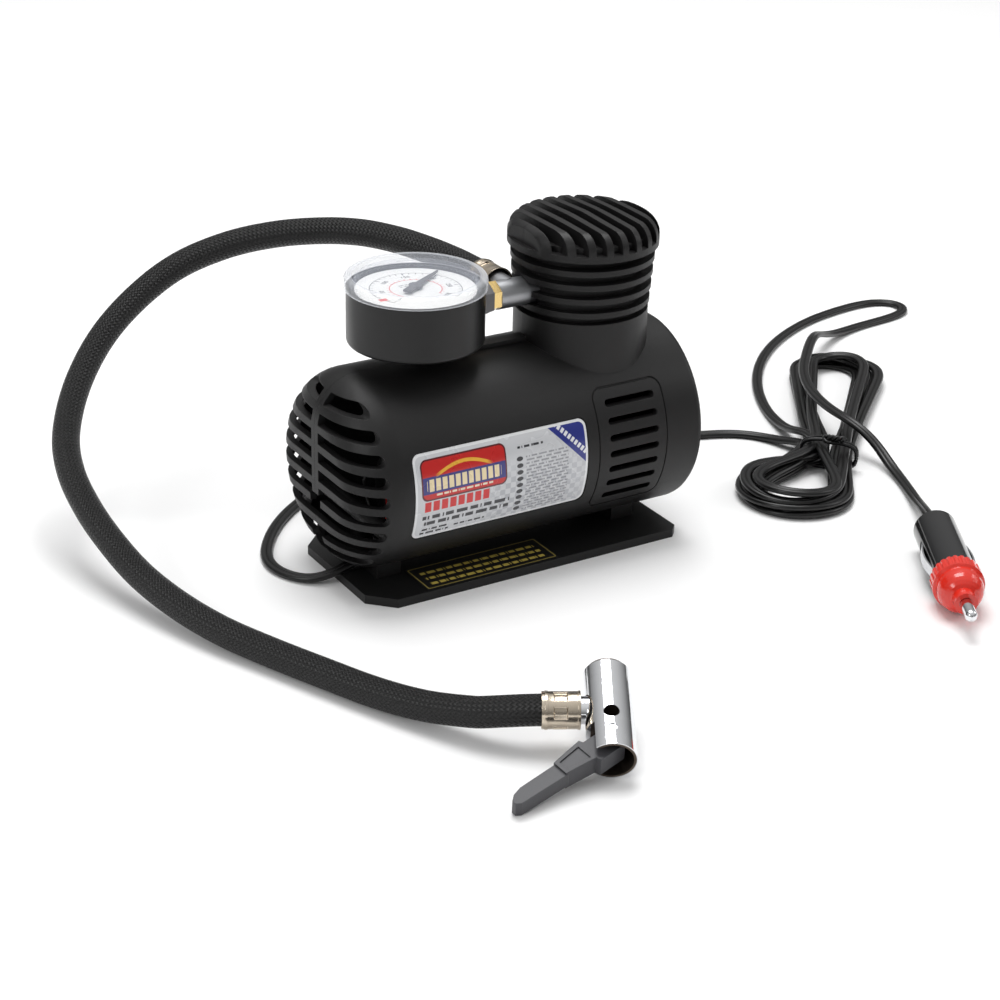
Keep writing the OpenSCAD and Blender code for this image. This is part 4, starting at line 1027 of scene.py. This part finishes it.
# ---------------------------------------------------------------- hose
@dataclass
class HoseRun:
    """Braided hose from the outlet to the chuck, with its crimped sleeves."""

    diameter: float = 10.6 * MM
    sleeve_r: float = 6.2 * MM
    sleeve_l: float = 12.6 * MM
    sleeve_sides: int = 36
    # heights of the cuts round a sleeve, of its windows' band and of its raised lips
    cuts: tuple[float, ...] = (0.8, 1.6, 2.6, 4.2, 8.8, 10.6, 11.6)
    windows: tuple[float, float] = (4.2 * MM, 8.8 * MM)
    lip_top: float = 0.8 * MM
    rib: tuple[float, float] = (10.6 * MM, 11.6 * MM)
    # how far the far sleeve reaches past the hose's end
    overlap: float = 1.1 * MM
    outlet: Point = (6, 7.5, 101.5)
    route: tuple[Point, ...] = (
        (6, 9.6, 101.5), (6, 16, 101.5), (6, 22.5, 101.5), (3.8, 36, 102.3), (-0.8, 50, 103.4),
        (-7.2, 63.5, 104.4), (-16, 77, 104.6), (-27, 90, 103), (-41, 102, 100), (-57, 112, 95),
        (-75, 119, 87), (-93, 120, 76), (-110, 115, 64), (-125, 104, 51), (-136, 89, 39),
        (-141, 73, 31), (-142, 56, 24), (-141, 38, 18), (-138, 17, 12), (-133, -5, 8.5),
        (-126, -27, 6.5), (-117, -48, 5.6), (-107.5, -70, 5.6), (-98.6, -90, 5.8),
        (-89.8, -107.5, 7.2), (-81, -122.1, 10), (-77.3, -127.2, 11.5), (-71.7, -132.8, 13.2),
        (-65.3, -137.3, 14), (-59.4, -140.7, 14), (-54, -143.8, 14))

    def tube(self, braid: bpy.types.Material) -> tuple[bpy.types.Object, list[Vector]]:
        """Makes the hose itself and gives the line it follows."""
        line = smooth_route(self.route, 2.2 * MM)
        return sweep("braided_hose", line, ring_profile(self.diameter / 2, 40), braid), line

    def sleeve(self, name: str, base: Vector, way: Vector,
               metal: bpy.types.Material) -> bpy.types.Object:
        """Makes one crimped sleeve with a ring of pressed windows.

        Args:
            name: Name of the piece.
            base: Centre of the end that sits on the fitting.
            way: Direction from the fitting along the hose.
            metal: Finish.

        Returns:
            The sleeve, in place.
        """
        bench_clear()
        bpy.ops.mesh.primitive_cylinder_add(
            vertices=self.sleeve_sides, radius=self.sleeve_r, depth=self.sleeve_l,
            end_fill_type="NOTHING", location=(0, 0, self.sleeve_l / 2))
        piece = bpy.context.object
        settle(piece)
        for height in self.cuts:
            with editing(piece):
                bpy.ops.mesh.bisect(plane_co=(0, 0, height * MM), plane_no=(0, 0, 1))

        def window(centre: Vector, _normal: Vector) -> bool:
            """Four faces in every six of the broad band."""
            side = (math.degrees(math.atan2(centre.y, centre.x)) % 360) * self.sleeve_sides / 360
            return self.windows[0] < centre.z < self.windows[1] and int(side) % 6 < 4

        with chosen_faces(piece, window):
            bpy.ops.mesh.inset(thickness=0.3 * MM, depth=0.0)
            bpy.ops.transform.shrink_fatten(value=-0.6 * MM)
        low, high = self.rib
        with chosen_faces(piece, lambda c, _: c.z < self.lip_top or low < c.z < high):
            bpy.ops.mesh.extrude_region_shrink_fatten(
                TRANSFORM_OT_shrink_fatten={"value": 0.2 * MM})
        modify(piece, "SOLIDIFY", thickness=0.5 * MM, offset=-1.0)
        modify(piece, "BEVEL", width=0.12 * MM, segments=2, limit_method="ANGLE")
        piece.data.transform(turned(way, base))
        piece.name = name
        clothe(piece, metal)
        with editing(piece):
            bpy.ops.mesh.remove_doubles(threshold=0.005 * MM)
            bpy.ops.mesh.normals_make_consistent(inside=False)
        bpy.ops.object.shade_smooth_by_angle(angle=math.radians(35))
        return piece

    def build(self, kit: "Finishes", chuck_pieces: Sequence[bpy.types.Object]) -> None:
        """Args:
            kit: Materials.
            chuck_pieces: What hangs on the hose's far end; not used.
        """
        tube, line = self.tube(kit["braid"])
        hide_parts("hose")
        ride_on(tube, "inflator")
        nickel = kit["warm_nickel"]
        near = self.sleeve("sleeve_near", Vector(self.outlet) * MM, Vector((0, 1, 0)), nickel)
        far_way = (line[-8] - line[-1]).normalized()
        far = self.sleeve("sleeve_far", line[-1] - far_way * self.overlap, far_way, nickel)
        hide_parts("hose_ferrules")
        for sleeve in (near, far):
            ride_on(sleeve, "inflator")
        round(length_of(line), 3)
        log.info("hose is %.3f m long", length_of(line))


# ---------------------------------------------------------------- cord
@dataclass
class PowerCord:
    """Twin cord: lead from the gland, tied hank, loop and tail to the plug."""

    width: float = 4.8 * MM
    strand_r: float = 1.3 * MM
    strand_offset: float = 1.1 * MM
    step: float = 2.4 * MM
    ease: float = 5.5 * MM
    lead: tuple[Point, ...] = (
        (-62, -3, 6.6), (-67, -3.4, 5.5), (-71.5, -3, 3.6), (-77, -0.2, 1.7), (-82, 7, 1.4),
        (-85, 15, 1.4), (-84, 24, 1.4), (-79, 34, 1.4), (-71, 45, 1.4), (-60, 56, 1.4),
        (-46, 66, 1.4), (-25, 76, 1.4), (5, 80, 1.4), (40, 75, 1.4), (75, 62, 1.4),
        (105, 49, 1.4), (128, 42, 1.4), (142, 37, 1.4), (151, 30, 1.4), (155.5, 21, 2),
        (157, 12, 4), (158.5, 3, 6))
    tail: tuple[Point, ...] = (
        (160.5, 2, 9.6), (161.5, 13, 7.6), (165, 27, 3.4), (173, 50, 1.4), (187, 75, 1.4),
        (207, 98, 1.4), (231, 116, 1.4), (259, 129, 1.4), (287, 135, 1.4), (305, 135, 1.4),
        (315, 128, 1.4), (312, 118, 1.4), (298, 114, 1.4), (277, 112, 1.4), (258, 106.5, 3),
        (243, 98.5, 7.8), (232, 90, 12.8), (222, 81.5, 14.4), (209, 68.5, 14.4),
        (195, 53, 14.4), (185, 36, 14.2), (179, 16, 14), (178, -3, 13.8), (181, -13, 9),
        (180, -24, 3.6), (176, -38, 1.6), (166.5, -57, 3), (157.5, -71.5, 7),
        (149.6, -84, 9.8), (145, -91.7, 9.8))
    # half the angle that the cord runs round each lobe
    near_half_deg: float = 118
    far_half_deg: float = 104
    near_lobe: tuple[float, float] = (130, -26)
    far_lobe: tuple[float, float] = (222, 64)
    waist: tuple[float, float] = (159, -10)
    # one row a turn: near radius, far radius, waist offset, level, sideways shift
    turns: tuple[tuple[float, float, float, float, float], ...] = (
        (21.5, 18.0, 7.4, 1.5, 0.0), (17.0, 13.5, 2.6, 1.7, 2.2), (22.0, 19.5, 7.6, 4.3, -1.4),
        (15.0, 16.0, 2.5, 4.6, 1.2), (19.5, 12.0, 6.4, 7.2, -2.0), (16.5, 14.0, 2.6, 9.6, 0.6))

    def hank(self) -> list[Point]:
        """Points of the tied turns, from the lead's end to the tail's start."""
        waist = Vector(self.waist)
        near = Vector(self.near_lobe)
        far = Vector(self.far_lobe)
        to_far = (far - waist).normalized()
        to_near = (near - waist).normalized()
        across = Vector((to_far.y, -to_far.x))
        points: list[Point] = []

        def straight(shares: tuple[float, float], side: int, offset: float, far_r: float,
                     level: float) -> list[Point]:
            """Two points of a run between waist and far lobe, on one side of the middle."""
            spots = [waist + (far - waist) * share
                     + across * side * (offset + share * (far_r - offset) * 0.9)
                     for share in shares]
            return [(spot.x, spot.y, level + 1.0 * (1 - share))
                    for spot, share in zip(spots, shares)]

        for turn, (near_r, far_r, offset, level, shift) in enumerate(self.turns):
            points += self._lobe(near, to_near, near_r, level, shift,
                                 math.radians(self.near_half_deg))
            if turn == len(self.turns) - 1:
                break
            points += straight((0.0, 0.4), 1, offset, far_r, level)
            points += self._lobe(far, to_far, far_r, level, shift,
                                 math.radians(self.far_half_deg))
            points += straight((0.4, 0.0), -1, offset, far_r, level + 1.4)
        return points

    @staticmethod
    def _lobe(centre: Vector, way: Vector, radius: float, level: float, shift: float,
              half: float) -> list[Point]:
        """Points round one lobe, anticlockwise about its outward direction."""
        heading = math.atan2(way.y, way.x)
        middle = centre + Vector((-way.y, way.x)) * shift + way * (22.0 - radius) * 0.5
        found: list[Point] = []
        for k in range(9):
            angle = heading - half + 2 * half * k / 8
            height = level + 0.9 * math.sin(k * 0.9 + radius)
            found.append((middle.x + radius * math.cos(angle),
                          middle.y + radius * math.sin(angle), max(1.4, height)))
        return found

    def build(self, kit: "Finishes", plug_pieces: Sequence[bpy.types.Object]) -> None:
        """Args:
            kit: Materials.
            plug_pieces: What hangs on the cord's far end; not used.
        """
        line = smooth_route([*self.lead, *self.hank(), *self.tail], self.step, self.ease)
        outline = twin_profile(self.strand_r, self.strand_offset)
        cord = sweep("power_cord", line, outline, kit["flex"])
        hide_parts("cord_lead", "cord_hank", "cord_tail")
        ride_on(cord, "inflator")
        tie = WireTie().build(kit)
        round(length_of(line), 2)
        log.info("power cord is %.3f m long", length_of(line))


@dataclass
class WireTie:
    """Thin covered wire wound round the hank's waist, its ends twisted together.

    Lengths are in millimetres, but for the wire's own radius, which is in metres.
    """

    centre: tuple[float, float] = (159, -10)
    heading: float = math.atan2(90, 92)
    half_width: float = 11.7
    low: float = 1.0
    high: float = 12.8
    wire_r: float = 0.8 * MM
    twist: float = 10.0
    turns: int = 2
    squareness: float = 0.65

    def _spot(self, angle: float, along: float) -> Vector:
        """Point on the rounded loop, in the waist's own frame."""
        half = (self.high - self.low) / 2
        c, s = (math.copysign(abs(v) ** self.squareness, v)
                for v in (math.cos(angle), math.sin(angle)))
        return Vector((along, c * self.half_width, self.low + half + s * half))

    def _end(self, phase: float) -> list[Vector]:
        """One twisted end, from the loop outwards."""
        base = Vector((0.0, 2.0, self.high + 1.0))
        way = Vector((-0.45, -0.85, 0.18)).normalized()
        side = way.cross(UP).normalized()
        up = side.cross(way)
        steps, step_angle, radius = 12, 1.1, 0.8
        return [base + way * (self.twist * k / steps)
                + (side * math.cos(phase + k * step_angle)
                   + up * math.sin(phase + k * step_angle)) * radius
                for k in range(steps + 1)]

    def build(self, kit: "Finishes") -> bpy.types.Object:
        """Makes the tie, in place."""
        start, steps, spread = math.radians(76), 28, 4.4
        last = self.turns * steps
        loop = [self._spot(start + 2 * math.pi * k / steps, -spread / 2 + spread * k / last)
                for k in range(1, last)]
        local = [*reversed(self._end(0.0)), *loop, *self._end(math.pi)]
        c, s = math.cos(self.heading), math.sin(self.heading)
        route = [(self.centre[0] + p.x * c - p.y * s, self.centre[1] + p.x * s + p.y * c, p.z)
                 for p in local]
        piece = sweep("wire_tie", smooth_route(route, 0.9 * MM), ring_profile(self.wire_r, 12),
                      kit["tie_black"])
        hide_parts("cord_tie")
        return ride_on(piece, "inflator")


# ---------------------------------------------------------------- finishes
class Finishes:
    """All materials, made once and handed out by name."""

    def __init__(self) -> None:
        """Builds every finish."""
        spark, satin, polished = Grain.SPARK, Grain.SATIN, Grain.POLISHED
        recipes = [
            Moulded("shell", (0.0075, 0.0072, 0.0074), 0.47, spark, 0.09 * MM,
                    specular=0.34, edge=0.35 * MM),
            Moulded("dark_trim", (0.008, 0.008, 0.008), 0.46, spark, 0.06 * MM,
                    specular=0.32, edge=0.3 * MM),
            Moulded("gauge_shell", (0.007, 0.007, 0.0072), 0.36, satin, 0.02 * MM,
                    specular=0.36, edge=0.3 * MM),
            Moulded("lever_grey", (0.060, 0.060, 0.066), 0.45, spark, 0.05 * MM,
                    specular=0.4, edge=0.3 * MM),
            Moulded("plug_black", (0.006, 0.006, 0.0065), 0.12, polished, 0.01 * MM, 0.3),
            Moulded("plug_red", (0.66, 0.022, 0.010), 0.2, polished, 0.01 * MM, 0.4),
            Moulded("black_rubber", (0.014, 0.014, 0.014), 0.6, satin, 0.03 * MM),
            Moulded("tie_black", (0.005, 0.005, 0.0055), 0.3, satin, 0.01 * MM, specular=0.4),
            Moulded("acetal", (0.78, 0.76, 0.70), 0.35, satin, 0.02 * MM),
            Moulded("carbon", (0.035, 0.035, 0.038), 0.55, spark, 0.05 * MM),
            Moulded("ferrite", (0.06, 0.06, 0.065), 0.6, spark, 0.05 * MM),
            Moulded("dark_needle", (0.10, 0.10, 0.11), 0.4, satin, 0.01 * MM),
            Moulded("dial_ink", (0.04, 0.04, 0.045), 0.5, satin, 0.005 * MM),
            Plated("chrome", (0.80, 0.81, 0.83), 0.09, scale=160.0, depth=0.02 * MM,
                   stain_share=0.08),
            ChuckChrome(),
            Plated("warm_nickel", (0.66, 0.58, 0.47), 0.2, scale=500.0,
                   stain=(0.30, 0.22, 0.15), stain_share=0.3),
            Plated("die_cast", (0.42, 0.43, 0.45), 0.42, scale=900.0, depth=0.04 * MM),
            Plated("bright_steel", (0.62, 0.63, 0.65), 0.24, (0.2, 1.0, 1.0), 900.0),
            Plated("dark_steel", (0.07, 0.07, 0.075), 0.35, scale=900.0),
            Plated("brass", (0.78, 0.57, 0.24), 0.2, (0.3, 1.0, 1.0), 800.0,
                   stain=(0.4, 0.26, 0.1)),
            Plated("bronze", (0.50, 0.32, 0.15), 0.4, scale=1500.0, depth=0.03 * MM),
            Plated("stem_grey", (0.10, 0.10, 0.105), 0.36, scale=700.0, depth=0.02 * MM),
            Plated("fuse_glass", (0.70, 0.75, 0.75), 0.12, scale=300.0),
            Braid(), Flex(), ClearShell(), Lacquered(), Stacked(), WirePair(),
            LabelPrint(), StickerPrint(), DialPrint()]
        self.materials = {recipe.name: recipe.build() for recipe in recipes}

    def __getitem__(self, name: str) -> bpy.types.Material:
        """Material by its finish's name."""
        return self.materials[name]

    NODE_FINISH = {
        "shell": ("front_housing", "rear_housing"),
        "dark_trim": ("base_plate", "motor_end_cap", "cord_tie"),
        "dark_steel": ("housing_screws", "base_screws"),
        "label_print": ("front_label",),
        "sticker_print": ("base_label",),
        "bright_steel": ("motor_can", "motor_screws", "motor_shaft", "gear_shaft", "crank_pin",
                         "wrist_pin", "head_screws", "valve_spring", "lever_pin", "plug_spring",
                         "plug_contacts"),
        "ferrite": ("motor_magnets",),
        "bronze": ("motor_bushings",),
        "carbon": ("motor_brushes",),
        "brass": ("motor_terminals", "motor_pinion", "outlet_nut", "bourdon_tube", "hose_barbs",
                  "chuck_pin"),
        "sheet_stack": ("armature_core",),
        "winding_wire": ("armature_windings", "commutator"),
        "die_cast": ("gear_frame", "connecting_rod", "piston", "cylinder", "cylinder_head"),
        "acetal": ("drive_gear",),
        "black_rubber": ("piston_seal", "head_gasket", "outlet_valve", "cord_gland", "chuck_seal"),
        "stem_grey": ("gauge_stem",),
        "gauge_shell": ("gauge_case",),
        "dial_print": ("gauge_dial",),
        "dark_needle": ("gauge_needle",),
        "clear_shell": ("gauge_cover",),
        "wire_pair": ("lead_wires",),
        "braid": ("hose",),
        "warm_nickel": ("hose_ferrules",),
        "chrome": ("plug_tip",),
        "chuck_chrome": ("chuck_body",),
        "lever_grey": ("chuck_lever",),
        "flex": ("cord_lead", "cord_hank", "cord_tail"),
        "plug_black": ("plug_body",),
        "plug_red": ("plug_cap",),
        "fuse_glass": ("plug_fuse",),
    }

    def dress_nodes(self) -> None:
        """Gives every CAD node its finish."""
        left = set(NODES)
        for finish, names in self.NODE_FINISH.items():
            for name in names:
                dress(NODES[name], self[finish])
                left.discard(name)
        log.info("nodes without a finish: %s", sorted(left))


# ---------------------------------------------------------------- studio
@dataclass
class Studio:
    """Pale floor, soft lights and the camera."""

    eye: Point = (-0.40093, -0.65107, 0.37867)
    azimuth: float = -31.9
    elevation: float = 25.3
    roll: float = 1.4
    lens: float = 79.2
    sensor: float = 36.0
    sky_strength: float = 0.8
    # grey levels of the sky: share of the way up and brightness
    sky: tuple[tuple[float, float], ...] = ((0.06, 0.16), (0.75, 1.0), (0.32, 0.42))

    def camera(self) -> None:
        """Places the camera and makes it the scene's own."""
        a, e, r = (math.radians(v) for v in (self.azimuth, self.elevation, self.roll))
        back = Vector((math.sin(a) * math.cos(e), -math.cos(a) * math.cos(e), math.sin(e)))
        right = Vector((math.cos(a), math.sin(a), 0))
        up = back.cross(right)
        c, s = math.cos(r), math.sin(r)
        right, up = right * c + up * s, up * c - right * s
        data = bpy.data.cameras.new("camera")
        data.lens = self.lens
        data.sensor_width = self.sensor
        data.clip_start = 0.01
        data.clip_end = 50.0
        camera = link("camera", data)
        camera.matrix_world = Matrix((
            *((right[k], up[k], back[k], self.eye[k]) for k in range(3)), (0, 0, 0, 1)))
        bpy.context.scene.camera = camera

    def floor(self) -> None:
        """Lays a wide pale floor."""
        bench_clear()
        bpy.ops.mesh.primitive_plane_add(size=12.0, location=(0, 0, 0))
        floor = bpy.context.object
        floor.name = "floor"
        book = Book("floor")
        book.finish(Base_Color=(0.90, 0.90, 0.90), Roughness=0.9, Specular_IOR_Level=0.1)
        floor.data.materials.append(book.material)

    def light(self, name: str, place: Point, target: Point, size: float, power: float) -> None:
        """Adds one square soft light.

        Args:
            name: Name of the light.
            place: Where it hangs.
            target: Point that it faces.
            size: Side of the square, in metres.
            power: Power in watts.
        """
        data = bpy.data.lights.new(name, "AREA")
        data.size = size
        data.energy = power
        lamp = link(name, data)
        lamp.location = place
        lamp.rotation_euler = (Vector(place) - Vector(target)).to_track_quat("Z", "Y").to_euler()

    def build(self) -> None:
        """Sets up camera, floor, lights and sky."""
        self.camera()
        self.floor()
        self.light("top", (0.15, 0.35, 1.5), (0.02, 0, 0), 0.9, 17.0)
        self.light("left", (-1.3, -0.3, 0.8), (0, 0, 0.05), 0.5, 5.0)
        self.light("right", (1.2, -0.5, 0.8), (0, 0, 0.05), 0.5, 3.0)
        world = bpy.data.worlds.new("sky")
        bpy.context.scene.world = world
        world.use_nodes = True
        tree = world.node_tree
        glow = tree.nodes["Background"]
        split = tree.nodes.new("ShaderNodeSeparateXYZ")
        ramp = tree.nodes.new("ShaderNodeValToRGB")
        tree.links.new(tree.nodes.new("ShaderNodeTexCoord").outputs["Generated"], split.inputs[0])
        tree.links.new(split.outputs[2], ramp.inputs[0])
        tree.links.new(ramp.outputs[0], glow.inputs[0])
        first, last = ramp.color_ramp.elements
        middle = ramp.color_ramp.elements.new(self.sky[2][0])
        for element, (place, level) in zip((first, last, middle), self.sky):
            element.position = place
            element.color = (level, level, level, 1.0)
        glow.inputs[1].default_value = self.sky_strength
        bpy.context.scene.view_settings.view_transform = "Standard"


def main() -> None:
    """Builds the camera, the cords and then everything else."""
    Studio().build()
    kit = Finishes()
    kit.dress_nodes()
    chuck = [NODES[name] for name in (
        "chuck_body", "chuck_seal", "chuck_pin", "chuck_lever", "lever_pin")]
    plug = [NODES[name] for name in (
        "plug_body", "plug_cap", "plug_tip", "plug_spring", "plug_fuse", "plug_contacts")]
    Housing().build(kit)
    HoseRun().build(kit, chuck)
    PowerCord().build(kit, plug)
    numbers = DialFace().build(kit["dial_ink"])
    ride_on(numbers, "inflator")


if __name__ == "__main__":
    main()
